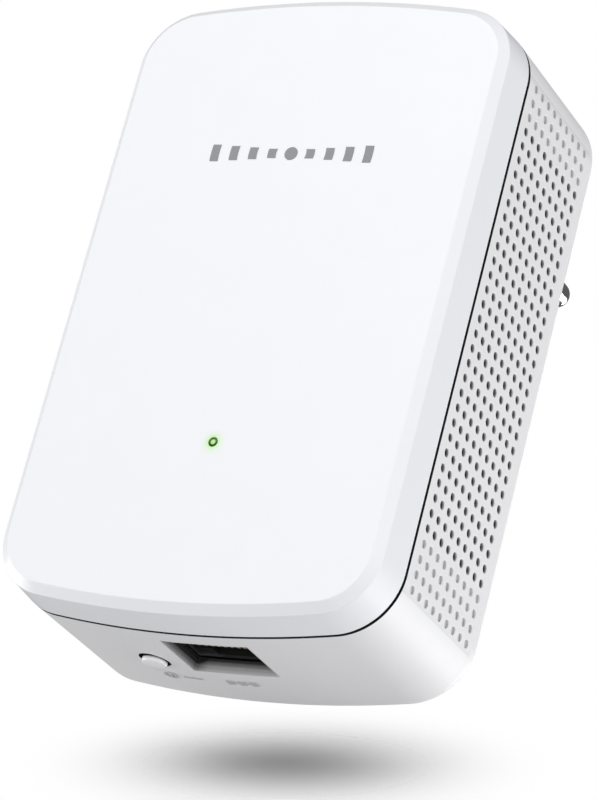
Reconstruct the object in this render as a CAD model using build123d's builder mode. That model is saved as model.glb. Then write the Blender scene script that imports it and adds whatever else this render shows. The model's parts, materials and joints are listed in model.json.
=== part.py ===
from build123d import *
from math import sqrt
import os

# Plug-in wifi range extender, in millimetres.
# The origin is midway between the two mains pins, in the plane of the housing's back face.
# +Y runs out along the pins, into the wall; the front cover faces -Y; +Z is up; +X is the viewer's right.
# "Depth" below is the distance forward of the back face, so a depth d lies at y = -d.
# "Height" below is measured from the middle of the body.

# ---------------------------------------------------------------- driving dimensions

# Enclosure
BODY_WIDTH = 58.9
BODY_HEIGHT = 93.9
BODY_DEPTH = 33.0
CORNER_RADIUS = 9.2
END_CROWN_RADIUS = 157.0
BACK_EDGE_RADIUS = 2.5
WALL = 1.8
BACK_WALL = 2.0
FRONT_WALL = 2.0

# Front cover
COVER_SIDE = 7.2
COVER_DRAFT = 0.46
BEVEL_INSET = 1.34
BEVEL_DEPTH = 1.19
SEAM_GAP = 0.3
TONGUE_INSET = 1.1
TONGUE_HEIGHT = 2.0
TONGUE_CLEARANCE = 0.1
COVER_CAVITY_INSET = 2.0

# Snap hooks: two on each side of the cover, whose barbs sit in pockets in the housing's walls
HOOK_HEIGHTS = (-10.0, 27.0)
HOOK_WIDTH = 7.0
HOOK_THICKNESS = 1.2
HOOK_INSET = 2.4
HOOK_END_DEPTH = 24.0
BARB_REACH = 0.8
BARB_THICKNESS = 0.8
POCKET_CLEARANCE = 0.15

# Vent field on each side: columns run back to front, rows bottom to top
VENT_DIAMETER = 1.2
VENT_COLUMNS = 9
VENT_ROWS = 35
BLIND_ROWS_BELOW = 4
BLIND_ROWS_ABOVE = 3
VENT_COLUMN_PITCH = 2.276
VENT_ROW_PITCH = 2.198
VENT_MIDDLE_DEPTH = 14.0
BLIND_VENT_DEPTH = 0.5

# Mains plug
PLUG_RISE = 35.0
BOSS_WIDTH = 35.3
BOSS_HEIGHT = 13.7
BOSS_LENGTH = 17.8
BOSS_WALL = 1.8
BOSS_FACE = 4.0
FLANGE_LIP = 1.5
FLANGE_THICKNESS = 1.5
PIN_SPACING = 19.0
PIN_LENGTH = 19.0
PIN_DIAMETER = 4.0
PIN_TIP_LENGTH = 9.0
PIN_SHANK_DIAMETER = 3.0
PIN_SLEEVE_DIAMETER = 3.5
PIN_INSIDE = 9.0

# Network socket in the bottom
PORT_X = 0.3
PORT_DEPTH = 17.3
PORT_WIDTH = 13.5
PORT_OPENING = 10.6
PORT_STEPS = ((0.2, 0.64), (0.5, 0.9))
JACK_WIDTH = 16.0
JACK_LENGTH = 16.3
JACK_SIDE = 13.5
SHIELD_SHEET = 0.3
PLUG_WAY_WIDTH = 11.8
PLUG_WAY_SIDE = 7.0
LATCH_WAY_WIDTH = 6.4
LATCH_WAY_SIDE = 2.0
PLUG_WAY_LENGTH = 12.5
CONTACT_COUNT = 8
CONTACT_PITCH = 1.02
CONTACT_WIDTH = 0.45
CONTACT_SHEET = 0.3

# Reset button in the bottom
BUTTON_X = -11.7
BUTTON_DEPTH = 14.0
BUTTON_DIAMETER = 3.6
BUTTON_HOLE_DIAMETER = 3.9
BUTTON_PROUD = 0.75
BUTTON_DOME = 0.35
BUTTON_TRAVEL = 0.35
BUTTON_FLANGE_DIAMETER = 5.6
SWITCH_DEPTH = 21.4
SWITCH_GAP = 0.1

# Boards
BOARD_THICKNESS = 1.6
MAIN_BOARD_DEPTH = 25.4
MAIN_BOARD_INSET = 3.7
MAIN_BOARD_TOP = 22.0
POWER_BOARD_DEPTH = 4.6
POWER_BOARD_INSET = 4.2
POWER_BOARD_BOTTOM = -16.0
SCREW_DIAMETER = 2.2
SCREW_HEAD_DIAMETER = 4.0
SCREW_HEAD = 1.5
POST_DIAMETER = 5.0

# Status light and front mark
LED_HEIGHT = -22.0
LIGHT_DIAMETER = 1.3
LIGHT_HOLE_DIAMETER = 1.4
MARK_HEIGHT = 21.7
MARK_THICKNESS = 0.05
WAVE_PITCH = 3.0
WAVE_COUNT = 4
WAVE_WIDTH = 1.3
WAVE_TALLEST = 2.6
SYMBOL_RAISE = 0.2

# ---------------------------------------------------------------- derived values

BODY_Z = -PLUG_RISE
BODY_BOTTOM = BODY_Z - BODY_HEIGHT / 2
SEAM_DEPTH = BODY_DEPTH - COVER_SIDE
COVER_RIM = SEAM_DEPTH + SEAM_GAP / 2
HOUSING_RIM = SEAM_DEPTH - SEAM_GAP / 2
BEVEL_START = BODY_DEPTH - BEVEL_DEPTH
MAIN_BOARD_FRONT = MAIN_BOARD_DEPTH + BOARD_THICKNESS
POWER_BOARD_FRONT = POWER_BOARD_DEPTH + BOARD_THICKNESS
PIN_TIP = BOSS_LENGTH + PIN_LENGTH
PIN_XS = (-PIN_SPACING / 2, PIN_SPACING / 2)
HOOK_OUTER_X = BODY_WIDTH / 2 - HOOK_INSET

# Planes: local x is +X and local y is +Z on the first two, and both look forward, towards -Y.
BODY = Plane(origin=(0, 0, BODY_Z), x_dir=(1, 0, 0), z_dir=(0, -1, 0))
PLUG = Plane(origin=(0, 0, 0), x_dir=(1, 0, 0), z_dir=(0, -1, 0))


def level(z):
    """Horizontal plane at z, whose local x and y are +X and +Y."""
    return Plane.XY.offset(z)


def arc_sagitta(radius, half_chord):
    """How far an arc of this radius stands above the middle of its chord."""
    return radius - sqrt(radius**2 - half_chord**2)


def outline(inset):
    """The enclosure's outline, inset all round: straight sides, shallow arcs for ends, round corners."""
    half_width = BODY_WIDTH / 2 - inset
    half_height = BODY_HEIGHT / 2 - inset
    shoulder = half_height - arc_sagitta(END_CROWN_RADIUS - inset, half_width)
    with BuildSketch() as shape:
        with BuildLine():
            Line((half_width, -shoulder), (half_width, shoulder))
            ThreePointArc((half_width, shoulder), (0, half_height), (-half_width, shoulder))
            Line((-half_width, shoulder), (-half_width, -shoulder))
            ThreePointArc((-half_width, -shoulder), (0, -half_height), (half_width, -shoulder))
        make_face()
        fillet(shape.vertices(), CORNER_RADIUS - inset)
    return shape.sketch


def save(piece, name):
    """Labels a finished piece and writes it as its own STEP file."""
    piece.part.label = name
    export_step(piece.part, f"parts/{name}.step")


os.makedirs("parts", exist_ok=True)

# ---------------------------------------------------------------- enclosure

# Screw posts. Each is (x, height): four tall ones carry the main board, two short ones the power board.
MAIN_POSTS = ((-20.5, -32.0), (20.5, -32.0), (-20.5, 15.0), (20.5, 15.0))
POWER_POSTS = ((-15.0, -12.0), (15.0, -12.0))

# Raised symbols on the bottom wall: a ring with a bar beside the button, three linked squares beside the socket.
SYMBOL_DEPTH = 9.0
SYMBOL_SIZE = 1.7
with BuildPart() as symbols:
    with BuildSketch(level(BODY_BOTTOM - 1)):
        with Locations((BUTTON_X, -SYMBOL_DEPTH)):
            Circle(SYMBOL_SIZE / 2)
            Circle(SYMBOL_SIZE / 2 - 0.3, mode=Mode.SUBTRACT)
            Rectangle(0.3, SYMBOL_SIZE / 2, align=(Align.CENTER, Align.MIN))
        with Locations((BUTTON_X + 3.2, -SYMBOL_DEPTH)):
            SlotOverall(2.4, 0.35)
        with Locations((PORT_X - 1.6, -SYMBOL_DEPTH)):
            with GridLocations(1.6, 0, 3, 1):
                Rectangle(0.8, SYMBOL_SIZE * 0.6)
            Rectangle(2.4, 0.3)
    extrude(amount=3.0)
    with BuildSketch(BODY):
        add(outline(-SYMBOL_RAISE))
        add(outline(WALL / 2), mode=Mode.SUBTRACT)
    extrude(amount=SEAM_DEPTH, mode=Mode.INTERSECT)

with BuildPart() as rear_housing:
    with BuildSketch(BODY):
        add(outline(0))
    extrude(amount=HOUSING_RIM)
    fillet(rear_housing.faces().sort_by(Axis.Y)[-1].edges(), BACK_EDGE_RADIUS)
    with BuildSketch(BODY.offset(BACK_WALL)):
        add(outline(WALL))
    extrude(amount=SEAM_DEPTH, mode=Mode.SUBTRACT)
    # tongue that locates the cover
    with BuildSketch(BODY.offset(HOUSING_RIM)):
        add(outline(TONGUE_INSET))
        add(outline(WALL), mode=Mode.SUBTRACT)
    extrude(amount=TONGUE_HEIGHT)
    # open vents go through both side walls
    open_rows = VENT_ROWS - BLIND_ROWS_BELOW - BLIND_ROWS_ABOVE
    open_middle = (BLIND_ROWS_BELOW - BLIND_ROWS_ABOVE) / 2 * VENT_ROW_PITCH
    with BuildSketch(Plane.YZ):
        with Locations((-VENT_MIDDLE_DEPTH, BODY_Z + open_middle)):
            with GridLocations(VENT_COLUMN_PITCH, VENT_ROW_PITCH, VENT_COLUMNS, open_rows):
                Circle(VENT_DIAMETER / 2)
    extrude(amount=BODY_WIDTH, both=True, mode=Mode.SUBTRACT)
    # blind vents carry the pattern on above and below
    blind_above = (VENT_ROWS - BLIND_ROWS_ABOVE) / 2 * VENT_ROW_PITCH
    blind_below = (BLIND_ROWS_BELOW - VENT_ROWS) / 2 * VENT_ROW_PITCH
    for side in (-1, 1):
        with BuildSketch(Plane.YZ.offset(side * (BODY_WIDTH / 2 - BLIND_VENT_DEPTH))):
            for rows, middle in ((BLIND_ROWS_ABOVE, blind_above), (BLIND_ROWS_BELOW, blind_below)):
                with Locations((-VENT_MIDDLE_DEPTH, BODY_Z + middle)):
                    with GridLocations(VENT_COLUMN_PITCH, VENT_ROW_PITCH, VENT_COLUMNS, rows):
                        Circle(VENT_DIAMETER / 2)
        extrude(amount=side * BLIND_VENT_DEPTH * 2, mode=Mode.SUBTRACT)
    # pockets for the barbs of the cover's hooks
    with BuildSketch(BODY.offset(HOOK_END_DEPTH - POCKET_CLEARANCE)):
        with GridLocations(0, HOOK_HEIGHTS[1] - HOOK_HEIGHTS[0], 1, 2):
            with Locations((0, sum(HOOK_HEIGHTS) / 2)):
                Rectangle(2 * (HOOK_OUTER_X + BARB_REACH + POCKET_CLEARANCE), HOOK_WIDTH + 2 * POCKET_CLEARANCE)
    extrude(amount=BARB_THICKNESS + 2 * POCKET_CLEARANCE, mode=Mode.SUBTRACT)
    # socket recess, which narrows in two chamfered steps, and its opening
    step_z = BODY_BOTTOM
    step_inset = 0
    for narrowing, rise in PORT_STEPS:
        with BuildSketch(level(step_z)):
            with Locations((PORT_X, -PORT_DEPTH)):
                Rectangle(PORT_WIDTH - 2 * step_inset, PORT_OPENING - 2 * step_inset)
        with BuildSketch(level(step_z + rise)):
            with Locations((PORT_X, -PORT_DEPTH)):
                inner = step_inset + narrowing
                Rectangle(PORT_WIDTH - 2 * inner, PORT_OPENING - 2 * inner)
        loft(mode=Mode.SUBTRACT)
        step_z += rise
        step_inset += narrowing
    with BuildSketch(level(step_z)):
        with Locations((PORT_X, -PORT_DEPTH)):
            Rectangle(PORT_WIDTH - 2 * step_inset, PORT_OPENING - 2 * step_inset)
    extrude(amount=WALL, mode=Mode.SUBTRACT)
    # button hole
    with BuildSketch(level(BODY_BOTTOM)):
        with Locations((BUTTON_X, -BUTTON_DEPTH)):
            Circle(BUTTON_HOLE_DIAMETER / 2)
    extrude(amount=2 * WALL, mode=Mode.SUBTRACT)
    # opening for the plug's boss
    with BuildSketch(PLUG):
        SlotOverall(BOSS_WIDTH + 0.2, BOSS_HEIGHT + 0.2)
    extrude(amount=BACK_WALL, mode=Mode.SUBTRACT)
    # shallow panel for the rating label
    with BuildSketch(BODY):
        with Locations((0, -12)):
            RectangleRounded(36.4, 46.4, 2.2)
    extrude(amount=0.2, mode=Mode.SUBTRACT)
    # screw posts with pilot holes
    for posts, top in ((MAIN_POSTS, MAIN_BOARD_DEPTH), (POWER_POSTS, POWER_BOARD_DEPTH)):
        with BuildSketch(BODY.offset(BACK_WALL)):
            with Locations(*posts):
                Circle(POST_DIAMETER / 2)
        extrude(amount=top - BACK_WALL)
    for posts, top in ((MAIN_POSTS, MAIN_BOARD_DEPTH), (POWER_POSTS, POWER_BOARD_DEPTH)):
        with BuildSketch(BODY.offset(top)):
            with Locations(*posts):
                Circle(SCREW_DIAMETER / 2)
        extrude(amount=-(min(top, 8.0) - 0.8), mode=Mode.SUBTRACT)
    add(symbols.part)
save(rear_housing, "rear_housing")

with BuildPart() as front_cover:
    with BuildSketch(BODY.offset(COVER_RIM)):
        add(outline(0))
    with BuildSketch(BODY.offset(BEVEL_START)):
        add(outline(COVER_DRAFT))
    loft(ruled=True)
    with BuildSketch(BODY.offset(BEVEL_START)):
        add(outline(COVER_DRAFT))
    with BuildSketch(BODY.offset(BODY_DEPTH)):
        add(outline(COVER_DRAFT + BEVEL_INSET))
    loft(ruled=True)
    with BuildSketch(BODY.offset(COVER_RIM)):
        add(outline(COVER_CAVITY_INSET))
    extrude(amount=BODY_DEPTH - FRONT_WALL - COVER_RIM, mode=Mode.SUBTRACT)
    # rebate that takes the housing's tongue
    with BuildSketch(BODY.offset(COVER_RIM)):
        add(outline(TONGUE_INSET - TONGUE_CLEARANCE))
    extrude(amount=TONGUE_HEIGHT, mode=Mode.SUBTRACT)
    with BuildSketch(BODY.offset(BODY_DEPTH - FRONT_WALL)):
        with Locations((0, LED_HEIGHT)):
            Circle(LIGHT_HOLE_DIAMETER / 2)
    extrude(amount=FRONT_WALL, mode=Mode.SUBTRACT)
    # collar that holds the light pipe, and four snap hooks that reach into the housing
    with BuildSketch(BODY.offset(BODY_DEPTH - FRONT_WALL)):
        with Locations((0, LED_HEIGHT)):
            Circle(3.0)
            Circle(2.1, mode=Mode.SUBTRACT)
    extrude(amount=-1.5)
    for side in (-1, 1):
        with BuildSketch(BODY.offset(HOOK_END_DEPTH)):
            with Locations(*[(side * (HOOK_OUTER_X - HOOK_THICKNESS / 2), height) for height in HOOK_HEIGHTS]):
                Rectangle(HOOK_THICKNESS, HOOK_WIDTH)
        extrude(amount=BODY_DEPTH - FRONT_WALL - HOOK_END_DEPTH)
        with BuildSketch(BODY.offset(HOOK_END_DEPTH)):
            with Locations(*[(side * (HOOK_OUTER_X + BARB_REACH / 2), height) for height in HOOK_HEIGHTS]):
                Rectangle(BARB_REACH, HOOK_WIDTH)
        extrude(amount=BARB_THICKNESS)
save(front_cover, "front_cover")

# Printed mark: a dot with waves spreading to both sides, taller the further out.
with BuildPart() as front_mark:
    with BuildSketch(BODY.offset(BODY_DEPTH)):
        with Locations((0, MARK_HEIGHT)):
            Circle(1.0)
    extrude(amount=MARK_THICKNESS)
    for number in range(1, WAVE_COUNT + 1):
        reach = number * WAVE_PITCH + WAVE_WIDTH / 2
        tall = WAVE_TALLEST * (0.4 + 0.6 * number / WAVE_COUNT)
        with BuildSketch(BODY.offset(BODY_DEPTH)):
            with Locations((0, MARK_HEIGHT)):
                Circle(reach)
                Circle(reach - WAVE_WIDTH, mode=Mode.SUBTRACT)
                Rectangle(2 * reach, tall, mode=Mode.INTERSECT)
        extrude(amount=MARK_THICKNESS)
save(front_mark, "front_mark")

with BuildPart() as rating_label:
    with BuildSketch(BODY.offset(0.1)):
        with Locations((0, -12)):
            RectangleRounded(36.0, 46.0, 2.0)
    extrude(amount=0.1)
save(rating_label, "rating_label")

# ---------------------------------------------------------------- mains plug

with BuildPart() as plug_carrier:
    with BuildSketch(PLUG.offset(-BOSS_LENGTH)):
        SlotOverall(BOSS_WIDTH, BOSS_HEIGHT)
    extrude(amount=BOSS_LENGTH + BACK_WALL)
    fillet(plug_carrier.faces().sort_by(Axis.Y)[-1].edges(), 1.2)
    with BuildSketch(PLUG.offset(BACK_WALL)):
        SlotOverall(BOSS_WIDTH + 2 * FLANGE_LIP, BOSS_HEIGHT + 2 * FLANGE_LIP)
    extrude(amount=FLANGE_THICKNESS)
    with BuildSketch(PLUG.offset(BOSS_FACE - BOSS_LENGTH)):
        SlotOverall(BOSS_WIDTH - 2 * BOSS_WALL, BOSS_HEIGHT - 2 * BOSS_WALL)
        with Locations(*[(x, 0) for x in PIN_XS]):
            Circle(3.2, mode=Mode.SUBTRACT)
    extrude(amount=BOSS_LENGTH, mode=Mode.SUBTRACT)
    with BuildSketch(PLUG.offset(-BOSS_LENGTH)):
        with Locations(*[(x, 0) for x in PIN_XS]):
            Circle(PIN_SHANK_DIAMETER / 2)
    extrude(amount=BOSS_LENGTH + BACK_WALL + FLANGE_THICKNESS, mode=Mode.SUBTRACT)
save(plug_carrier, "plug_carrier")

for x, side_name in zip(PIN_XS, ("left", "right")):
    with BuildPart() as plug_pin:
        with BuildSketch(PLUG.offset(-PIN_TIP)):
            with Locations((x, 0)):
                Circle(PIN_DIAMETER / 2)
        extrude(amount=PIN_TIP_LENGTH)
        fillet(plug_pin.faces().sort_by(Axis.Y)[-1].edges(), PIN_DIAMETER / 2 * 0.9)
        with BuildSketch(PLUG.offset(PIN_TIP_LENGTH - PIN_TIP)):
            with Locations((x, 0)):
                Circle(PIN_SHANK_DIAMETER / 2)
        extrude(amount=PIN_TIP - PIN_TIP_LENGTH + PIN_INSIDE)
    save(plug_pin, f"plug_pin_{side_name}")

    with BuildPart() as pin_sleeve:
        with BuildSketch(PLUG.offset(PIN_TIP_LENGTH - PIN_TIP)):
            with Locations((x, 0)):
                Circle(PIN_SLEEVE_DIAMETER / 2)
                Circle(PIN_SHANK_DIAMETER / 2, mode=Mode.SUBTRACT)
        extrude(amount=PIN_LENGTH - PIN_TIP_LENGTH)
    save(pin_sleeve, f"pin_sleeve_{side_name}")

with BuildPart() as pin_clips:
    with BuildSketch(PLUG.offset(POWER_BOARD_FRONT)):
        with Locations(*[(x, 0) for x in PIN_XS]):
            Rectangle(6.0, 5.0)
            Circle(PIN_SHANK_DIAMETER / 2, mode=Mode.SUBTRACT)
            with Locations((0, 2.0)):
                Rectangle(0.8, 3.0, mode=Mode.SUBTRACT)
    extrude(amount=PIN_INSIDE - POWER_BOARD_FRONT + 0.6)
save(pin_clips, "pin_clips")

# ---------------------------------------------------------------- network socket

# The socket's mouth points down. Its contacts are on the side towards the main board.
JACK_MOUTH = BODY_BOTTOM + WALL + 0.4
JACK_BACK_DEPTH = MAIN_BOARD_DEPTH - JACK_SIDE
WAY_FRONT_DEPTH = PORT_DEPTH + 4.4
WAY_BACK_DEPTH = WAY_FRONT_DEPTH - PLUG_WAY_SIDE
MOUTH_FRAME_WIDTH = 12.4
MOUTH_FRAME_SIDE = 9.4

with BuildPart() as jack_shield:
    with BuildSketch(level(JACK_MOUTH)):
        with Locations((PORT_X, -JACK_BACK_DEPTH)):
            Rectangle(JACK_WIDTH, JACK_SIDE, align=(Align.CENTER, Align.MAX))
    extrude(amount=JACK_LENGTH)
    with BuildSketch(level(JACK_MOUTH + SHIELD_SHEET)):
        with Locations((PORT_X, -JACK_BACK_DEPTH - SHIELD_SHEET)):
            Rectangle(JACK_WIDTH - 2 * SHIELD_SHEET, JACK_SIDE, align=(Align.CENTER, Align.MAX))
    extrude(amount=JACK_LENGTH - 2 * SHIELD_SHEET, mode=Mode.SUBTRACT)
    with BuildSketch(level(JACK_MOUTH)):
        with Locations((PORT_X, -PORT_DEPTH)):
            Rectangle(MOUTH_FRAME_WIDTH, MOUTH_FRAME_SIDE)
    extrude(amount=SHIELD_SHEET, mode=Mode.SUBTRACT)
save(jack_shield, "jack_shield")

CONTACT_XS = [PORT_X + (i - (CONTACT_COUNT - 1) / 2) * CONTACT_PITCH for i in range(CONTACT_COUNT)]
CONTACT_START = JACK_MOUTH + 1.6
CONTACT_END = JACK_MOUTH + 9.0
CONTACT_DROP = 1.9
TAIL_Z = CONTACT_START + CONTACT_SHEET

with BuildPart() as jack_insulator:
    with BuildSketch(level(JACK_MOUTH + SHIELD_SHEET)):
        with Locations((PORT_X, -JACK_BACK_DEPTH - SHIELD_SHEET)):
            side = JACK_SIDE - SHIELD_SHEET
            Rectangle(JACK_WIDTH - 2 * SHIELD_SHEET, side, align=(Align.CENTER, Align.MAX))
    extrude(amount=JACK_LENGTH - 2 * SHIELD_SHEET)
    with BuildSketch(level(JACK_MOUTH + SHIELD_SHEET)):
        with Locations((PORT_X, -WAY_FRONT_DEPTH)):
            Rectangle(PLUG_WAY_WIDTH, PLUG_WAY_SIDE, align=(Align.CENTER, Align.MIN))
        with Locations((PORT_X, -WAY_BACK_DEPTH)):
            Rectangle(LATCH_WAY_WIDTH, LATCH_WAY_SIDE, align=(Align.CENTER, Align.MIN))
    extrude(amount=PLUG_WAY_LENGTH, mode=Mode.SUBTRACT)
    # slots that the contacts' tails pass through on their way to the board
    with BuildSketch(level(CONTACT_START)):
        for x in CONTACT_XS:
            with Locations((x, -WAY_FRONT_DEPTH)):
                Rectangle(CONTACT_WIDTH, MAIN_BOARD_DEPTH - WAY_FRONT_DEPTH, align=(Align.CENTER, Align.MAX))
    extrude(amount=CONTACT_SHEET, mode=Mode.SUBTRACT)
save(jack_insulator, "jack_insulator")

with BuildPart() as jack_contacts:
    for x in CONTACT_XS:
        with BuildSketch(Plane.YZ.offset(x - CONTACT_WIDTH / 2)):
            with BuildLine():
                Polyline(
                    (-MAIN_BOARD_DEPTH, CONTACT_START),
                    (-WAY_FRONT_DEPTH, CONTACT_START),
                    (CONTACT_DROP - WAY_FRONT_DEPTH, CONTACT_END - CONTACT_SHEET),
                    (CONTACT_DROP - WAY_FRONT_DEPTH, CONTACT_END),
                    (CONTACT_DROP - WAY_FRONT_DEPTH - CONTACT_SHEET, CONTACT_END),
                    (-WAY_FRONT_DEPTH, TAIL_Z),
                    (-MAIN_BOARD_DEPTH, TAIL_Z),
                    close=True,
                )
            make_face()
        extrude(amount=CONTACT_WIDTH)
save(jack_contacts, "jack_contacts")

# ---------------------------------------------------------------- reset button and its switch

BUTTON_SURFACE = BODY_BOTTOM + arc_sagitta(END_CROWN_RADIUS, abs(BUTTON_X))
BUTTON_END = BUTTON_SURFACE - BUTTON_PROUD
FLANGE_Z = BUTTON_SURFACE + WALL + 0.6
ARM_Z = FLANGE_Z + 1.0
ARM_THICKNESS = 1.6
ARM_WIDTH = 2.6
PLUNGER_Z = ARM_Z + ARM_THICKNESS + SWITCH_GAP
PLUNGER_DIAMETER = 3.0
PLUNGER_LENGTH = 3.0
SWITCH_Z = PLUNGER_Z + 1.5
SWITCH_WIDTH = 6.0
SWITCH_LENGTH = 3.6
SWITCH_SIDE = 7.0

with BuildPart() as reset_button:
    with BuildSketch(level(BUTTON_END)):
        with Locations((BUTTON_X, -BUTTON_DEPTH)):
            Circle(BUTTON_DIAMETER / 2)
    extrude(amount=FLANGE_Z - BUTTON_END)
    fillet(reset_button.faces().sort_by(Axis.Z)[0].edges(), BUTTON_DOME)
    with BuildSketch(level(FLANGE_Z)):
        with Locations((BUTTON_X, -BUTTON_DEPTH)):
            Circle(BUTTON_FLANGE_DIAMETER / 2)
    extrude(amount=ARM_Z - FLANGE_Z)
    # arm that carries the push forward to the switch
    with BuildSketch(level(ARM_Z)):
        with Locations((BUTTON_X, -(BUTTON_DEPTH + SWITCH_DEPTH) / 2)):
            SlotCenterToCenter(SWITCH_DEPTH - BUTTON_DEPTH, ARM_WIDTH, rotation=90)
    extrude(amount=ARM_THICKNESS)
save(reset_button, "reset_button")

with BuildPart() as switch_body:
    with BuildSketch(level(SWITCH_Z)):
        with Locations((BUTTON_X, -MAIN_BOARD_DEPTH)):
            Rectangle(SWITCH_WIDTH, SWITCH_SIDE, align=(Align.CENTER, Align.MIN))
    extrude(amount=SWITCH_LENGTH)
    chamfer(switch_body.edges().filter_by(Axis.Z).sort_by(Axis.Y)[-2:], 0.6)
    with BuildSketch(level(SWITCH_Z)):
        with Locations((BUTTON_X, -SWITCH_DEPTH)):
            Circle(PLUNGER_DIAMETER / 2 + 0.08)
    extrude(amount=PLUNGER_LENGTH - 1.5 + BUTTON_TRAVEL + 0.15, mode=Mode.SUBTRACT)
save(switch_body, "switch_body")

with BuildPart() as switch_plunger:
    with BuildSketch(level(PLUNGER_Z)):
        with Locations((BUTTON_X, -SWITCH_DEPTH)):
            Circle(PLUNGER_DIAMETER / 2)
    extrude(amount=PLUNGER_LENGTH)
    fillet(switch_plunger.faces().sort_by(Axis.Z)[0].edges(), 0.3)
save(switch_plunger, "switch_plunger")

# ---------------------------------------------------------------- boards


def block(name, depth, x, height, width, tall, thick, edge=0.0):
    """A moulded block standing forward from this depth, centred on x and height, its front edges eased."""
    with BuildPart() as piece:
        with BuildSketch(BODY.offset(depth)):
            with Locations((x, height)):
                Rectangle(width, tall)
        extrude(amount=thick)
        if edge:
            chamfer(piece.faces().sort_by(Axis.Y)[0].edges(), edge)
    save(piece, name)


with BuildPart() as main_board:
    with BuildSketch(BODY.offset(MAIN_BOARD_DEPTH)):
        add(outline(MAIN_BOARD_INSET))
        with Locations((0, MAIN_BOARD_TOP)):
            Rectangle(BODY_WIDTH, BODY_HEIGHT, align=(Align.CENTER, Align.MAX), mode=Mode.INTERSECT)
        # notches that the cover's snap hooks pass through
        with Locations((-HOOK_OUTER_X, HOOK_HEIGHTS[0]), (HOOK_OUTER_X, HOOK_HEIGHTS[0])):
            Rectangle(3.6, HOOK_WIDTH + 1.0, mode=Mode.SUBTRACT)
        with Locations(*MAIN_POSTS):
            Circle(SCREW_DIAMETER / 2 + 0.1, mode=Mode.SUBTRACT)
    extrude(amount=BOARD_THICKNESS)
save(main_board, "main_board")

with BuildPart() as power_board:
    with BuildSketch(BODY.offset(POWER_BOARD_DEPTH)):
        add(outline(POWER_BOARD_INSET))
        with Locations((0, POWER_BOARD_BOTTOM)):
            Rectangle(BODY_WIDTH, BODY_HEIGHT, align=(Align.CENTER, Align.MIN), mode=Mode.INTERSECT)
        with Locations(*[post for post in MAIN_POSTS if post[1] > 0]):
            Circle(POST_DIAMETER / 2 + 0.4, mode=Mode.SUBTRACT)
        with Locations(*POWER_POSTS):
            Circle(SCREW_DIAMETER / 2 + 0.1, mode=Mode.SUBTRACT)
        with Locations(*[(x, PLUG_RISE) for x in PIN_XS]):
            Circle(PIN_SHANK_DIAMETER / 2 + 0.1, mode=Mode.SUBTRACT)
    extrude(amount=BOARD_THICKNESS)
save(power_board, "power_board")

for name, posts, seat in (
    ("main_board_screws", MAIN_POSTS, MAIN_BOARD_FRONT),
    ("power_board_screws", POWER_POSTS, POWER_BOARD_FRONT),
):
    shank = BOARD_THICKNESS + (6.0 if seat == MAIN_BOARD_FRONT else 2.0)
    with BuildPart() as screws:
        with BuildSketch(BODY.offset(seat)):
            with Locations(*posts):
                Circle(SCREW_HEAD_DIAMETER / 2)
        extrude(amount=SCREW_HEAD)
        fillet(screws.faces().sort_by(Axis.Y)[: len(posts)].edges(), 0.6)
        with BuildSketch(BODY.offset(seat)):
            with Locations(*posts):
                Circle(SCREW_DIAMETER / 2)
        extrude(amount=-shank)
        # cross recess
        with BuildSketch(BODY.offset(seat + SCREW_HEAD)):
            with Locations(*posts):
                Rectangle(2.2, 0.5)
                Rectangle(0.5, 2.2)
        extrude(amount=-0.8, mode=Mode.SUBTRACT)
    save(screws, name)

# Main board, front side: radio, memory, line transformer, voltage converter
CAN_HEIGHT = 5.0
CAN_WIDTH = 24.0
CAN_TALL = 20.0
CAN_THICK = 2.6
CAN_SHEET = 0.25
CHIP_THICK = 0.9
block("wifi_chip", MAIN_BOARD_FRONT, 0, CAN_HEIGHT, 9.0, 9.0, CHIP_THICK, 0.2)
block(
    "chip_thermal_pad",
    MAIN_BOARD_FRONT + CHIP_THICK,
    0,
    CAN_HEIGHT,
    8.0,
    8.0,
    CAN_THICK - CAN_SHEET - CHIP_THICK,
)
with BuildPart() as shield_can:
    with BuildSketch(BODY.offset(MAIN_BOARD_FRONT)):
        with Locations((0, CAN_HEIGHT)):
            RectangleRounded(CAN_WIDTH, CAN_TALL, 1.0)
    extrude(amount=CAN_THICK)
    with BuildSketch(BODY.offset(MAIN_BOARD_FRONT)):
        with Locations((0, CAN_HEIGHT)):
            RectangleRounded(CAN_WIDTH - 2 * CAN_SHEET, CAN_TALL - 2 * CAN_SHEET, 0.75)
    extrude(amount=CAN_THICK - CAN_SHEET, mode=Mode.SUBTRACT)
save(shield_can, "shield_can")
block("flash_chip", MAIN_BOARD_FRONT, -17.5, -12.0, 5.2, 5.2, 1.8, 0.25)
block("clock_crystal", MAIN_BOARD_FRONT, 17.0, 4.0, 3.2, 2.5, 0.8)
block("line_transformer", MAIN_BOARD_FRONT, 12.0, -32.0, 9.5, 12.6, 2.4, 0.3)
block("converter_inductor", MAIN_BOARD_FRONT, -16.5, -24.0, 5.0, 5.0, 2.6, 0.4)
block("converter_chip", MAIN_BOARD_FRONT, -10.0, -24.0, 3.0, 2.8, 1.1, 0.15)
block("status_led", MAIN_BOARD_FRONT, 0, LED_HEIGHT, 1.6, 2.0, 0.8)

with BuildPart() as chip_capacitors:
    with BuildSketch(BODY.offset(MAIN_BOARD_FRONT)):
        with Locations((-4.0, -33.0)):
            with GridLocations(3.0, 3.2, 4, 3):
                Rectangle(1.6, 0.8)
        with Locations((0, -9.5)):
            with GridLocations(3.0, 2.4, 6, 2):
                Rectangle(1.6, 0.8)
    extrude(amount=0.8)
save(chip_capacitors, "chip_capacitors")

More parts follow.
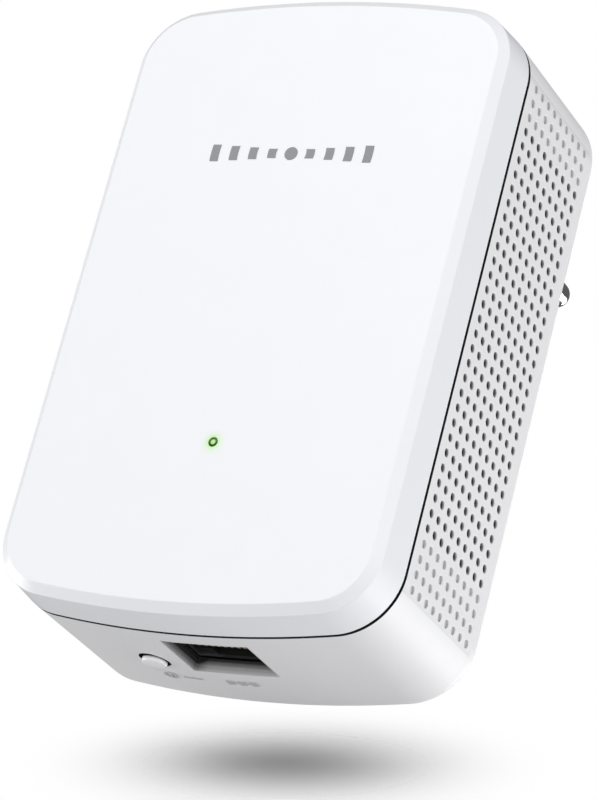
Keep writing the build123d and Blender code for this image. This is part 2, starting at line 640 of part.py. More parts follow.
# Light pipe: a stepped rod from just over the light source to flush with the front face
PIPE_BASE = MAIN_BOARD_FRONT + 1.1
COVER_INSIDE = BODY_DEPTH - FRONT_WALL
with BuildPart() as light_pipe:
    with BuildSketch(BODY.offset(PIPE_BASE)):
        with Locations((0, LED_HEIGHT)):
            Circle(2.0)
    extrude(amount=COVER_INSIDE - PIPE_BASE)
    with BuildSketch(BODY.offset(COVER_INSIDE)):
        with Locations((0, LED_HEIGHT)):
            Circle(LIGHT_DIAMETER / 2)
    extrude(amount=FRONT_WALL)
save(light_pipe, "light_pipe")

# Antennas: folded metal strips that stand over the board's top corners on two feet each
ANTENNA_SHEET = 0.3
ANTENNA_LIFT = 3.0
for side, side_name in ((-1, "left"), (1, "right")):
    with BuildPart() as antenna:
        with BuildSketch(BODY.offset(MAIN_BOARD_FRONT + ANTENNA_LIFT - ANTENNA_SHEET)):
            with Locations((side * 14.0, MAIN_BOARD_TOP - 3.5)):
                Rectangle(18.0, 5.0)
            with Locations((side * 8.5, MAIN_BOARD_TOP - 4.0)):
                Rectangle(4.0, 1.0, mode=Mode.SUBTRACT)
        extrude(amount=ANTENNA_SHEET)
        with BuildSketch(BODY.offset(MAIN_BOARD_FRONT)):
            with Locations((side * 8.0, MAIN_BOARD_TOP - 5.85), (side * 12.0, MAIN_BOARD_TOP - 5.85)):
                Rectangle(1.2, ANTENNA_SHEET)
        extrude(amount=ANTENNA_LIFT)
    save(antenna, f"antenna_{side_name}")

# Back side of the main board: a metal plate on a soft pad takes the radio's heat
PAD_THICK = 0.8
block("spreader_pad", MAIN_BOARD_DEPTH - PAD_THICK, 0, CAN_HEIGHT, 20.0, 16.0, PAD_THICK)
block("heat_spreader", MAIN_BOARD_DEPTH - PAD_THICK - 1.0, 0, CAN_HEIGHT, 34.0, 24.0, 1.0)

with BuildPart() as insulation_sheet:
    with BuildSketch(BODY.offset(22.7)):
        with Locations((0, 4.0)):
            RectangleRounded(50.0, 42.0, 2.0)
        with Locations(*[post for post in MAIN_POSTS if post[1] > 0]):
            Circle(POST_DIAMETER / 2 + 0.1, mode=Mode.SUBTRACT)
        with Locations((0, -14.5)):
            Rectangle(12.0, 4.0, mode=Mode.SUBTRACT)
    extrude(amount=0.2)
save(insulation_sheet, "insulation_sheet")

# ---------------------------------------------------------------- power supply

# Transformer: bobbin and winding inside an E core, on the power board
CORE_X = 8.0
CORE_HEIGHT = 10.0
CORE_WIDTH = 16.0
CORE_TALL = 14.0
CORE_THICK = 13.0
CORE_SIDE = 9.0
LEG = 3.5
BOBBIN_DEPTH = POWER_BOARD_FRONT + 1.2
with BuildPart() as transformer_core:
    with BuildSketch(BODY.offset(BOBBIN_DEPTH)):
        with Locations((CORE_X, CORE_HEIGHT)):
            Rectangle(CORE_WIDTH, CORE_SIDE)
    extrude(amount=CORE_THICK)
    with BuildSketch(BODY.offset(BOBBIN_DEPTH + LEG)):
        with Locations((CORE_X, CORE_HEIGHT)):
            Rectangle(CORE_WIDTH - 2 * LEG, CORE_SIDE)
            Rectangle(LEG, CORE_SIDE, mode=Mode.SUBTRACT)
    extrude(amount=CORE_THICK - 2 * LEG, mode=Mode.SUBTRACT)
save(transformer_core, "transformer_core")

BOBBIN_FLANGE = 0.8
with BuildPart() as transformer_bobbin:
    for depth in (BOBBIN_DEPTH + LEG, BOBBIN_DEPTH + CORE_THICK - LEG - BOBBIN_FLANGE):
        with BuildSketch(BODY.offset(depth)):
            with Locations((CORE_X, CORE_HEIGHT)):
                Rectangle(CORE_WIDTH - 2 * LEG - 0.2, CORE_TALL)
        extrude(amount=BOBBIN_FLANGE)
    with BuildSketch(BODY.offset(BOBBIN_DEPTH + LEG)):
        with Locations((CORE_X, CORE_HEIGHT)):
            Rectangle(LEG + 1.6, CORE_SIDE + 1.6)
    extrude(amount=CORE_THICK - 2 * LEG)
    with BuildSketch(BODY.offset(BOBBIN_DEPTH + LEG)):
        with Locations((CORE_X, CORE_HEIGHT)):
            Rectangle(LEG + 0.1, CORE_SIDE + 0.1)
    extrude(amount=CORE_THICK - 2 * LEG, mode=Mode.SUBTRACT)
    # terminal feet down to the board, clear of the core's ends
    with BuildSketch(BODY.offset(POWER_BOARD_FRONT)):
        with Locations((CORE_X, CORE_HEIGHT - CORE_TALL / 2 + 0.8), (CORE_X, CORE_HEIGHT + CORE_TALL / 2 - 0.8)):
            Rectangle(CORE_WIDTH - 2 * LEG - 0.2, 1.6)
    extrude(amount=BOBBIN_DEPTH + LEG - POWER_BOARD_FRONT)
save(transformer_bobbin, "transformer_bobbin")

with BuildPart() as transformer_winding:
    with BuildSketch(BODY.offset(BOBBIN_DEPTH + LEG + BOBBIN_FLANGE)):
        with Locations((CORE_X, CORE_HEIGHT)):
            RectangleRounded(CORE_WIDTH - 2 * LEG - 0.6, CORE_TALL - 0.6, 1.0)
            Rectangle(LEG + 1.6, CORE_SIDE + 1.6, mode=Mode.SUBTRACT)
    extrude(amount=CORE_THICK - 2 * LEG - 2 * BOBBIN_FLANGE)
save(transformer_winding, "transformer_winding")


def cans(name, places, diameter, length):
    """Electrolytic capacitor cans that stand forward from the power board, with the rolled groove near the foot."""
    with BuildPart() as piece:
        with BuildSketch(BODY.offset(POWER_BOARD_FRONT)):
            with Locations(*places):
                Circle(diameter / 2)
        extrude(amount=length)
        fillet(piece.faces().sort_by(Axis.Y)[: len(places)].edges(), 0.5)
        with BuildSketch(BODY.offset(POWER_BOARD_FRONT + 1.4)):
            with Locations(*places):
                Circle(diameter / 2)
                Circle(diameter / 2 - 0.3, mode=Mode.SUBTRACT)
        extrude(amount=0.7, mode=Mode.SUBTRACT)
    save(piece, name)


cans("input_capacitors", ((-14.5, 6.0), (-5.0, 17.5)), 8.0, 14.0)
cans("output_capacitors", ((4.0, -5.5), (12.0, -5.5)), 6.3, 11.0)
block("bridge_rectifier", POWER_BOARD_FRONT, 0.0, 26.5, 7.0, 4.8, 2.5, 0.3)
block("fuse", POWER_BOARD_FRONT, -17.0, 27.0, 8.4, 4.0, 7.5, 0.4)
block("surge_absorber", POWER_BOARD_FRONT, 16.0, 26.5, 7.2, 3.6, 8.0, 0.6)
block("power_chip", POWER_BOARD_FRONT, -5.0, 6.0, 6.4, 9.2, 3.4, 0.4)
block("feedback_coupler", POWER_BOARD_FRONT, -4.5, -4.5, 4.6, 6.6, 3.4, 0.4)
block("output_diode", POWER_BOARD_FRONT, 19.0, -5.0, 2.7, 4.4, 2.2, 0.2)

with BuildPart() as isolation_capacitor:
    with BuildSketch(Plane.XY.offset(BODY_Z - 1.9)):
        with Locations((-11.5, -POWER_BOARD_FRONT - 4.2)):
            Circle(3.6)
    extrude(amount=2.8)
    fillet(isolation_capacitor.faces().filter_by(Axis.Z).edges(), 1.0)
    with BuildSketch(BODY.offset(POWER_BOARD_FRONT)):
        with Locations((-13.5, -0.5), (-9.5, -0.5)):
            Circle(0.3)
    extrude(amount=2.0)
save(isolation_capacitor, "isolation_capacitor")

with BuildPart() as filter_choke:
    with BuildSketch(BODY.offset(POWER_BOARD_FRONT)):
        with Locations((-14.5, 17.5)):
            Circle(3.2)
    extrude(amount=9.0)
    for depth in (POWER_BOARD_FRONT, POWER_BOARD_FRONT + 8.0):
        with BuildSketch(BODY.offset(depth)):
            with Locations((-14.5, 17.5)):
                Circle(3.9)
        extrude(amount=1.0)
save(filter_choke, "filter_choke")

# Link between the boards: a strip of long pins in a plastic spacer
LINK_HEIGHT = -14.5
LINK_PINS = 4
LINK_PITCH = 2.0
with BuildPart() as link_spacer:
    with BuildSketch(BODY.offset(POWER_BOARD_FRONT)):
        with Locations((0, LINK_HEIGHT)):
            Rectangle(LINK_PINS * LINK_PITCH, 2.0)
            with GridLocations(LINK_PITCH, 0, LINK_PINS, 1):
                Rectangle(0.5, 0.5, mode=Mode.SUBTRACT)
    extrude(amount=2.0)
save(link_spacer, "link_spacer")

with BuildPart() as link_pins:
    with BuildSketch(BODY.offset(POWER_BOARD_FRONT)):
        with Locations((0, LINK_HEIGHT)):
            with GridLocations(LINK_PITCH, 0, LINK_PINS, 1):
                Rectangle(0.5, 0.5)
    extrude(amount=MAIN_BOARD_DEPTH - POWER_BOARD_FRONT)
save(link_pins, "link_pins")
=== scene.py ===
"""Looks of a plug-in wifi range extender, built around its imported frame.

Pieces take their places from the frame's boxes where it has them, and the other sizes are fields of
the classes. New surfaces are worked out with numpy as whole arrays:
a profile of (inset, depth) pairs is carried round the enclosure's outline, or turned about an axis.
Lengths are metres, and the constant MM turns the millimetres of a drawing into them.
"""

from __future__ import annotations

import json
import logging
import math
from dataclasses import dataclass, field
from enum import Enum
from typing import Any, Iterable, Mapping, Sequence

import bpy
import numpy as np
from mathutils import Matrix, Vector


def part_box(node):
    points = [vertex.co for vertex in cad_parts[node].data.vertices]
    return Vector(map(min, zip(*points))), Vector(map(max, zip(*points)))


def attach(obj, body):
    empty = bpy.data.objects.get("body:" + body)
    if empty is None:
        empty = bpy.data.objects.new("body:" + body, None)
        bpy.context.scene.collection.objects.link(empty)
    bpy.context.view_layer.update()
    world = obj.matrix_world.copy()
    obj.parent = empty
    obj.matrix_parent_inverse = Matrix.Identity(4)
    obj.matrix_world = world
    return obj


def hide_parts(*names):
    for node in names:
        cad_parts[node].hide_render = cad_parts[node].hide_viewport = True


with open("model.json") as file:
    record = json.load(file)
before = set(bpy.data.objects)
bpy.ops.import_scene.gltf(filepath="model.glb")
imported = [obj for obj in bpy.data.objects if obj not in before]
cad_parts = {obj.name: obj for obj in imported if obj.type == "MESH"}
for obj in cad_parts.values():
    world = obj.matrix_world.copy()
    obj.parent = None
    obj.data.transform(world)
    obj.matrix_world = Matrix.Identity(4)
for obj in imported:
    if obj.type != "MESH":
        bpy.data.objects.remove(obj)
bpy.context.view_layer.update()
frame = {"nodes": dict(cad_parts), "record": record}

MM = 0.001
log = logging.getLogger("extender")

Array = np.ndarray
Colour = tuple[float, float, float]


# ------------------------------------------------------------------ shader maths


class Signal:
    """A number or colour that runs through a shader: wraps one output socket.

    Arithmetic on signals adds Math nodes, so a formula reads as it is written.
    """

    def __init__(self, shader: Shader, socket: bpy.types.NodeSocket) -> None:
        """Wraps a socket.

        Args:
            shader: The shader whose tree holds the socket.
            socket: The output socket.
        """
        self.shader = shader
        self.socket = socket

    def _math(self, operation: str, first: Operand, second: Operand = 0.0) -> Signal:
        """Adds one Math node.

        Args:
            operation: The node's operation.
            first: Its first value.
            second: Its second value.

        Returns:
            The node's result.
        """
        node = self.shader.node("ShaderNodeMath", {"operation": operation}, {0: first, 1: second})
        return Signal(self.shader, node.outputs[0])

    def __add__(self, other: Operand) -> Signal:
        """Sum."""
        return self._math("ADD", self, other)

    __radd__ = __add__

    def __sub__(self, other: Operand) -> Signal:
        """Difference."""
        return self._math("SUBTRACT", self, other)

    def __rsub__(self, other: Operand) -> Signal:
        """Difference from a number."""
        return self._math("SUBTRACT", other, self)

    def __mul__(self, other: Operand) -> Signal:
        """Product."""
        return self._math("MULTIPLY", self, other)

    __rmul__ = __mul__

    def __truediv__(self, other: Operand) -> Signal:
        """Quotient."""
        return self._math("DIVIDE", self, other)

    def __rtruediv__(self, other: Operand) -> Signal:
        """Quotient of a number."""
        return self._math("DIVIDE", other, self)

    def __pow__(self, other: Operand) -> Signal:
        """Power."""
        return self._math("POWER", self, other)

    def __gt__(self, other: Operand) -> Signal:
        """1 where this is the greater, else 0."""
        return self._math("GREATER_THAN", self, other)

    def __lt__(self, other: Operand) -> Signal:
        """1 where this is the smaller, else 0."""
        return self._math("LESS_THAN", self, other)

    def __abs__(self) -> Signal:
        """Magnitude."""
        return self._math("ABSOLUTE", self)

    def modulo(self, period: float) -> Signal:
        """Distance past the last whole period."""
        return self._math("FLOORED_MODULO", self, period)

    def clipped(self) -> Signal:
        """The value held between 0 and 1."""
        return self._math("MAXIMUM", self._math("MINIMUM", self, 1.0), 0.0)

    def between(self, low: float, high: float) -> Signal:
        """1 between two numbers, else 0."""
        return (self > low) * (self < high)

    def ramped(self, start: float, end: float) -> Signal:
        """0 at start, 1 at end, straight between and held outside."""
        return ((self - start) / (end - start)).clipped()


Operand = Signal | float


class Shader:
    """One material and the nodes that make its finish."""

    def __init__(self, name: str) -> None:
        """Starts a material with an empty tree, an output and a principled shader.

        Args:
            name: The material's name.
        """
        self.material = bpy.data.materials.new(name)
        self.material.use_nodes = True
        self.tree = self.material.node_tree
        self.tree.nodes.clear()
        self.output = self.node("ShaderNodeOutputMaterial")
        self.surface = self.node("ShaderNodeBsdfPrincipled")
        self.link(self.surface.outputs[0], self.output.inputs["Surface"])
        self.place = self.node("ShaderNodeTexCoord").outputs["Object"]

    def link(self, source: bpy.types.NodeSocket, target: bpy.types.NodeSocket) -> None:
        """Joins two sockets."""
        self.tree.links.new(source, target)

    def node(
        self,
        kind: str,
        settings: Mapping[str, Any] | None = None,
        inputs: Mapping[str | int, Any] | None = None,
    ) -> bpy.types.Node:
        """Adds a node.

        Args:
            kind: The node's type.
            settings: Its properties, set first. "stops" is a ramp's list of (place, grey or colour).
            inputs: Values, signals or sockets for its inputs, by name or number.

        Returns:
            The node.
        """
        made = self.tree.nodes.new(kind)
        for name, value in (settings or {}).items():
            if name == "stops":
                self._set_stops(made.color_ramp, value)
            else:
                setattr(made, name, value)
        for name, value in (inputs or {}).items():
            self.feed(made.inputs[name], value)
        return made

    def feed(self, target: bpy.types.NodeSocket, value: Any) -> None:
        """Gives an input its value or its link.

        Args:
            target: The input socket.
            value: A number, a colour, a signal or a socket.
        """
        if isinstance(value, Signal):
            self.link(value.socket, target)
        elif isinstance(value, bpy.types.NodeSocket):
            self.link(value, target)
        elif target.type == "RGBA" and len(value) == 3:
            target.default_value = (*value, 1.0)
        else:
            target.default_value = value

    @staticmethod
    def _set_stops(ramp: bpy.types.ColorRamp, stops: Sequence[tuple[float, float | Colour]]) -> None:
        """Writes a ramp's stops, greys as numbers and colours as triples."""
        while len(ramp.elements) < len(stops):
            ramp.elements.new(0.5)
        for element, (place, value) in zip(ramp.elements, stops):
            element.position = place
            element.color = (*value, 1.0) if isinstance(value, tuple) else (value, value, value, 1.0)

    def axes(self) -> tuple[Signal, Signal, Signal]:
        """The x, y and z of the point being shaded, in metres.

        Returns:
            The three signals.
        """
        split = self.node("ShaderNodeSeparateXYZ", inputs={0: self.place})
        x, y, z = (Signal(self, socket) for socket in split.outputs)
        return x, y, z

    def distance_to(self, point: Sequence[float], stretch: Colour = (1.0, 1.0, 1.0)) -> Signal:
        """Distance from a point in metres, each axis first multiplied by its stretch.

        Args:
            point: The point.
            stretch: A factor per axis; 0 leaves the axis out.

        Returns:
            The distance.
        """
        moved = self.node(
            "ShaderNodeVectorMath", {"operation": "SUBTRACT"}, {0: self.place, 1: tuple(point)}
        )
        scaled = self.node(
            "ShaderNodeVectorMath", {"operation": "MULTIPLY"}, {0: moved.outputs[0], 1: stretch}
        )
        length = self.node("ShaderNodeVectorMath", {"operation": "LENGTH"}, {0: scaled.outputs[0]})
        return Signal(self, length.outputs["Value"])

    def noise(self, size: float, detail: float = 3.0, stretch: Colour = (1.0, 1.0, 1.0)) -> Signal:
        """Cloudy noise from 0 to 1.

        Args:
            size: Rough size of one cloud, in metres.
            detail: How many finer layers it has.
            stretch: How much finer it is along each axis.

        Returns:
            The noise.
        """
        scaled = self.node(
            "ShaderNodeVectorMath", {"operation": "MULTIPLY"}, {0: self.place, 1: stretch}
        )
        made = self.node(
            "ShaderNodeTexNoise",
            inputs={"Vector": scaled.outputs[0], "Scale": 1.0 / size, "Detail": detail, "Roughness": 0.55},
        )
        return Signal(self, made.outputs["Fac"])

    def grains(self, size: float) -> Signal:
        """Distance from the middle of each grain of a packed surface, 0 to about 1.

        Args:
            size: Size of one grain, in metres.

        Returns:
            The distance.
        """
        made = self.node("ShaderNodeTexVoronoi", inputs={"Vector": self.place, "Scale": 1.0 / size})
        return Signal(self, made.outputs["Distance"])

    def mixed(self, share: Operand, first: Any, second: Any) -> bpy.types.NodeSocket:
        """A colour between two.

        Args:
            share: 0 gives the first, 1 the second.
            first: A colour or a colour socket.
            second: The same.

        Returns:
            The mixed colour's socket.
        """
        made = self.node("ShaderNodeMix", {"data_type": "RGBA"}, {"Factor": share})
        self.feed(made.inputs[6], first)
        self.feed(made.inputs[7], second)
        return made.outputs[2]

    def bump(self, height: Signal, depth: float) -> None:
        """Dents the shaded surface.

        Args:
            height: 0 to 1.
            depth: What 1 stands for, in metres.
        """
        made = self.node(
            "ShaderNodeBump", inputs={"Height": height, "Distance": depth, "Strength": 1.0}
        )
        self.link(made.outputs[0], self.surface.inputs["Normal"])

    def finish(self, **values: Any) -> bpy.types.Material:
        """Sets the principled shader's inputs, named with _ for a space.

        Args:
            **values: Numbers and colours, or signals where they vary.

        Returns:
            The finished material.
        """
        for name, value in values.items():
            self.feed(self.surface.inputs[name.replace("_", " ")], value)
        return self.material


# ------------------------------------------------------------------ finishes


@dataclass(frozen=True)
class Moulding:
    """Moulded plastic: a flat colour, faint cloudiness, and the fine grain of a spark-eroded tool.

    Attributes:
        colour: Linear base colour.
        roughness: Middle roughness.
        grain: Size of one grain, in metres.
        depth: Depth of the grain, in metres.
        cloud: How much the colour wanders, as a share.
        gloss: Specular level of the skin.
    """

    colour: Colour
    roughness: float = 0.45
    grain: float = 0.16 * MM
    depth: float = 0.006 * MM
    cloud: float = 0.02
    gloss: float = 0.4

    def tint(self, shader: Shader) -> bpy.types.NodeSocket:
        """The plastic's colour, a little darker in clouds of about 6 mm.

        Args:
            shader: The material's shader.

        Returns:
            The colour's socket.
        """
        darker = tuple(channel * (1.0 - self.cloud) for channel in self.colour)
        return shader.mixed(shader.noise(6 * MM, 2.0), self.colour, darker)

    def make(self, name: str) -> bpy.types.Material:
        """Builds the material.

        Args:
            name: Its name.

        Returns:
            The material.
        """
        shader = Shader(name)
        speckle = shader.noise(self.grain, 4.0)
        shader.bump(speckle, self.depth)
        return shader.finish(
            Base_Color=self.tint(shader),
            Roughness=self.roughness + 0.10 * (shader.noise(2 * MM, 3.0) - 0.5),
            Specular_IOR_Level=self.gloss,
        )


@dataclass(frozen=True)
class PaintedShadeShell(Moulding):
    """The housing's plastic, with painted shade: dark inside like a closed box, and darkening down its open
    vents.

    Shade is painted in the colour: a point is inside, and painted dark, where its distance from the
    rectangle that joins the four corners' centres is less than the limit, or in front of the rim. In a
    vent, the painted shade grows with the distance under the side's surface. In the socket's recess it
    grows with depth and towards the left wall, and in the button's hole it starts just above the mouth.

    Attributes:
        rectangle: Half width, half height and middle height of that rectangle, in metres.
        limit: Distance from the rectangle, in metres.
        rim: The y of the rim's edge, in metres.
        side: The x of the side's surface, in metres.
        vents: Half height and middle height of the open vents, in metres.
        bottom: The z of the bottom's middle, in metres.
        socket: Middle and half size of the socket's mouth in x and y, in metres.
        button: Middle and radius of the button's hole in x and y, in metres.
        inner: Linear colour of the painted shade inside.
    """

    rectangle: tuple[float, float, float] = (20.25 * MM, 36.5 * MM, -35.0 * MM)
    limit: float = 8.68 * MM
    rim: float = -25.47 * MM
    side: float = 29.45 * MM
    vents: tuple[float, float] = (30.6 * MM, -33.9 * MM)
    bottom: float = -81.95 * MM
    socket: tuple[tuple[float, float], tuple[float, float]] = (
        (0.3 * MM, -17.3 * MM),
        (6.76 * MM, 5.31 * MM),
    )
    button: tuple[float, float, float] = (-11.7 * MM, -14.0 * MM, 2.36 * MM)
    inner: Colour = (0.012, 0.012, 0.013)

    def tint(self, shader: Shader) -> bpy.types.NodeSocket:
        """The plastic's colour outside, and the painted shade's colour inside.

        Args:
            shader: The material's shader.

        Returns:
            The colour's socket.
        """
        x, y, z = shader.axes()
        half_width, half_height, middle = self.rectangle
        across = (abs(x) - half_width) * (abs(x) > half_width)
        up = (abs(z - middle) - half_height) * (abs(z - middle) > half_height)
        close = (across * across + up * up) < self.limit**2
        reach, centre = self.vents
        # painted shade down the vents, growing with depth under the side's surface
        sunk_shade = abs(x).ramped(self.side - 0.04 * MM, self.side - 0.55 * MM)
        vent = sunk_shade * (abs(x) > self.side - 2 * MM) * (0.3 + 0.7 * (abs(z - centre) < reach))
        flank = (y < -3 * MM) * (abs(z - middle) < half_height + 2 * MM)
        (socket_x, socket_y), (half_x, half_y) = self.socket
        low = z < self.bottom + 6 * MM
        # painted shade in the socket's recess: darker with depth and towards its left wall
        recess = (abs(x - socket_x) < half_x) * (abs(y - socket_y) < half_y) * low
        recess = recess * (0.12 + 0.85 * z.ramped(self.bottom, self.bottom + 1.5 * MM))
        recess = recess + (recess > 0.0) * 0.28 * x.ramped(socket_x - 4.5 * MM, socket_x - 6.2 * MM)
        button_x, button_y, radius = self.button
        # painted shade in the button's hole, from just above its mouth
        button_hole_shade = ((x - button_x) ** 2.0 + (y - button_y) ** 2.0) < radius**2
        button_hole_shade = button_hole_shade * low * z.ramped(self.bottom + 0.42 * MM, self.bottom + 0.55 * MM)
        # painted shade inside the box, on the tongue in front of the rim, down the vents, in the recess and
        # in the hole
        inside = close * (y < -1.95 * MM) + (y < self.rim) + vent * flank + recess + button_hole_shade
        return shader.mixed(inside.clipped(), super().tint(shader), self.inner)


@dataclass(frozen=True)
class ButtonCapWithPaintedShade(Moulding):
    """The button's plastic, with painted shade where it goes up into its hole.

    Attributes:
        mouth: The z of the hole's mouth, in metres.
    """

    mouth: float = -81.5 * MM

    def tint(self, shader: Shader) -> bpy.types.NodeSocket:
        """The plastic's colour outside the hole, and a painted shade's near black within.

        Args:
            shader: The material's shader.

        Returns:
            The colour's socket.
        """
        _, _, z = shader.axes()
        # painted shade: near black from just below the hole's mouth upwards
        sunk_shade = z.ramped(self.mouth - 0.24 * MM, self.mouth + 0.02 * MM)
        return shader.mixed(sunk_shade, super().tint(shader), (0.012, 0.012, 0.013))


@dataclass(frozen=True)
class PaintedGlowCover(Moulding):
    """The cover's plastic, with the status light's green spill painted round it as a glow, and painted shade
    behind the seam.

    Attributes:
        light: Where the light meets the front face, in metres.
        reach: How far the painted glow goes, in metres.
        glow: Linear colour of the painted glow.
        rim: The y of the rim's edge, behind which the seam's shade is painted, in metres.
    """

    light: tuple[float, float, float] = (0.0, 0.0, 0.0)
    reach: float = 2.1 * MM
    glow: Colour = (0.40, 0.80, 0.17)
    rim: float = -26.12 * MM

    def make(self, name: str) -> bpy.types.Material:
        """Builds the material: the painted glow falls off as the square of what is left of its reach, and
        painted shade lies behind the rim.

        Args:
            name: The material's name.

        Returns:
            The material.
        """
        shader = Shader(name)
        # painted glow: the status light's green spill painted into colour and emission round it
        near = 1.0 - shader.distance_to(self.light).ramped(0.5 * MM, self.reach)
        painted_halo = (near**2.0) * 0.75
        speckle = shader.noise(self.grain, 4.0)
        shader.bump(speckle, self.depth)
        _, y, _ = shader.axes()
        # painted shade: near black behind the rim's edge, where the seam shows
        shell = shader.mixed(y > self.rim, self.tint(shader), (0.012, 0.012, 0.013))
        return shader.finish(
            Base_Color=shader.mixed(painted_halo, shell, self.glow),
            Roughness=self.roughness + 0.06 * (shader.noise(3 * MM, 3.0) - 0.5),
            Emission_Color=shader.mixed(painted_halo, (0.0, 0.0, 0.0), self.glow),
            Emission_Strength=0.12,
            Specular_IOR_Level=self.gloss,
        )


@dataclass(frozen=True)
class Ink:
    """Printed ink: even, a little broken at a fine scale.

    Attributes:
        colour: Linear base colour.
        roughness: Roughness.
    """

    colour: Colour
    roughness: float = 0.5

    def make(self, name: str) -> bpy.types.Material:
        """Builds the material.

        Args:
            name: The material's name.

        Returns:
            The material.
        """
        shader = Shader(name)
        thin = shader.noise(0.12 * MM, 2.0).ramped(0.55, 0.8)
        paler = tuple(min(1.0, channel * 1.12) for channel in self.colour)
        return shader.finish(
            Base_Color=shader.mixed(thin, self.colour, paler),
            Roughness=self.roughness + 0.08 * (shader.noise(0.4 * MM) - 0.5),
        )


@dataclass(frozen=True)
class Metal:
    """Bare or plated metal with fine drawn lines.

    Attributes:
        colour: Linear reflectance.
        roughness: Middle roughness.
        line: Width of a drawn line, in metres.
        depth: Depth of the lines, in metres.
        along: Stretch per axis; a small number runs the lines that way.
        tarnish: Share of darker, rougher patches.
    """

    colour: Colour
    roughness: float = 0.2
    line: float = 0.1 * MM
    depth: float = 0.001 * MM
    along: Colour = (1.0, 0.05, 1.0)
    tarnish: float = 0.1

    def make(self, name: str) -> bpy.types.Material:
        """Builds the material.

        Args:
            name: The material's name.

        Returns:
            The material.
        """
        shader = Shader(name)
        lines = shader.noise(self.line, 3.0, self.along)
        patch = shader.noise(3 * MM, 4.0).ramped(0.5, 0.75) * self.tarnish
        dull = tuple(channel * 0.6 for channel in self.colour)
        shader.bump(lines, self.depth)
        return shader.finish(
            Base_Color=shader.mixed(patch, self.colour, dull),
            Metallic=1.0,
            Roughness=self.roughness + 0.12 * (lines - 0.5) + 0.3 * patch,
        )


@dataclass(frozen=True)
class Laminate:
    """Circuit board: woven glass under a coloured mask, with raised tracks and tinned pads.

    Attributes:
        mask: Linear colour of the mask over bare board.
        track: Linear colour of the mask over copper.
        pad: Linear colour of the pads.
        pitch: Spacing of the tracks, in metres.
    """

    mask: Colour
    track: Colour
    pad: Colour = (0.62, 0.60, 0.55)
    pitch: float = 1.1 * MM

    def make(self, name: str) -> bpy.types.Material:
        """Builds the material: straight tracks along z or x by areas, and round pads on a wider grid.

        Args:
            name: The material's name.

        Returns:
            The material.
        """
        shader = Shader(name)
        x, _, z = shader.axes()
        area = shader.noise(9 * MM, 0.0) > 0.5
        upright = (x.modulo(self.pitch) / self.pitch).between(0.3, 0.62)
        level = (z.modulo(self.pitch) / self.pitch).between(0.3, 0.62)
        copper = area * upright + (1.0 - area) * level
        cell = 4 * self.pitch
        across = (x.modulo(cell) - cell / 2) / self.pitch
        up = (z.modulo(cell) - cell / 2) / self.pitch
        pads = (across * across + up * up) < 0.16
        weave = shader.noise(0.3 * MM, 2.0, (1.0, 1.0, 0.2))
        shader.bump((copper + 0.15 * weave).clipped(), 0.02 * MM)
        board = shader.mixed(copper * 0.9, self.mask, self.track)
        return shader.finish(
            Base_Color=shader.mixed(pads, board, self.pad),
            Roughness=0.28 + 0.25 * pads + 0.1 * (weave - 0.5),
            Metallic=pads * 0.9,
        )


@dataclass(frozen=True)
class Lens:
    """The status light's end: a bright core inside a dark green rim.

    Attributes:
        centre: Middle of the light, in metres.
        core: Radius of the bright core, in metres.
        edge: Outer radius, in metres.
    """

    centre: tuple[float, float, float]
    core: float = 0.27 * MM
    edge: float = 0.44 * MM
    bright: Colour = (0.36, 0.66, 0.20)
    dark: Colour = (0.012, 0.075, 0.004)

    def make(self, name: str) -> bpy.types.Material:
        """Builds the material: the core fades into the rim by distance from the light's axis.

        Args:
            name: The material's name.

        Returns:
            The material.
        """
        shader = Shader(name)
        out = shader.distance_to(self.centre, (1.0, 0.0, 1.0)).ramped(self.core, self.edge)
        ring = shader.mixed(out, self.bright, self.dark)
        return shader.finish(
            Base_Color=ring,
            Emission_Color=shader.mixed(out, self.bright, (0.0, 0.01, 0.0)),
            Emission_Strength=0.28,
            Roughness=0.25 + 0.1 * shader.noise(0.3 * MM),
        )


@dataclass(frozen=True)
class Soft:
    """Rubbery or fibrous matter: dull, grained all through.

    Attributes:
        colour: Linear base colour.
        grain: Size of one grain, in metres.
    """

    colour: Colour
    grain: float = 0.3 * MM

    def make(self, name: str) -> bpy.types.Material:
        """Builds the material.

        Args:
            name: The material's name.

        Returns:
            The material.
        """
        shader = Shader(name)
        grains = shader.grains(self.grain)
        shader.bump(grains, 0.03 * MM)
        darker = tuple(channel * 0.75 for channel in self.colour)
        return shader.finish(
            Base_Color=shader.mixed(grains.clipped(), self.colour, darker),
            Roughness=0.8 + 0.1 * (shader.noise(1 * MM) - 0.5),
        )


@dataclass(frozen=True)
class Wound:
    """Tape over wire: shallow ridges a wire apart.

    Attributes:
        colour: Linear base colour.
        wire: Spacing of the ridges, in metres.
    """

    colour: Colour
    wire: float = 0.35 * MM

    def make(self, name: str) -> bpy.types.Material:
        """Builds the material: a ridge is a triangle wave along y, and painted shade darkens the grooves
        between ridges.

        Args:
            name: The material's name.

        Returns:
            The material.
        """
        shader = Shader(name)
        _, y, _ = shader.axes()
        ridge = 1.0 - abs((y.modulo(self.wire) / self.wire) * 2.0 - 1.0)
        shader.bump(ridge, 0.03 * MM)
        # painted shade: the colour darkens down into the grooves between ridges
        darker = tuple(channel * 0.7 for channel in self.colour)
        return shader.finish(
            Base_Color=shader.mixed(ridge, darker, self.colour),
            Roughness=0.35 + 0.1 * shader.noise(1 * MM),
        )


# ------------------------------------------------------------------ surfaces


class Skin(Enum):
    """How a mesh's edges are shaded."""

    CRISP = math.radians(28)
    ROUND = math.radians(60)


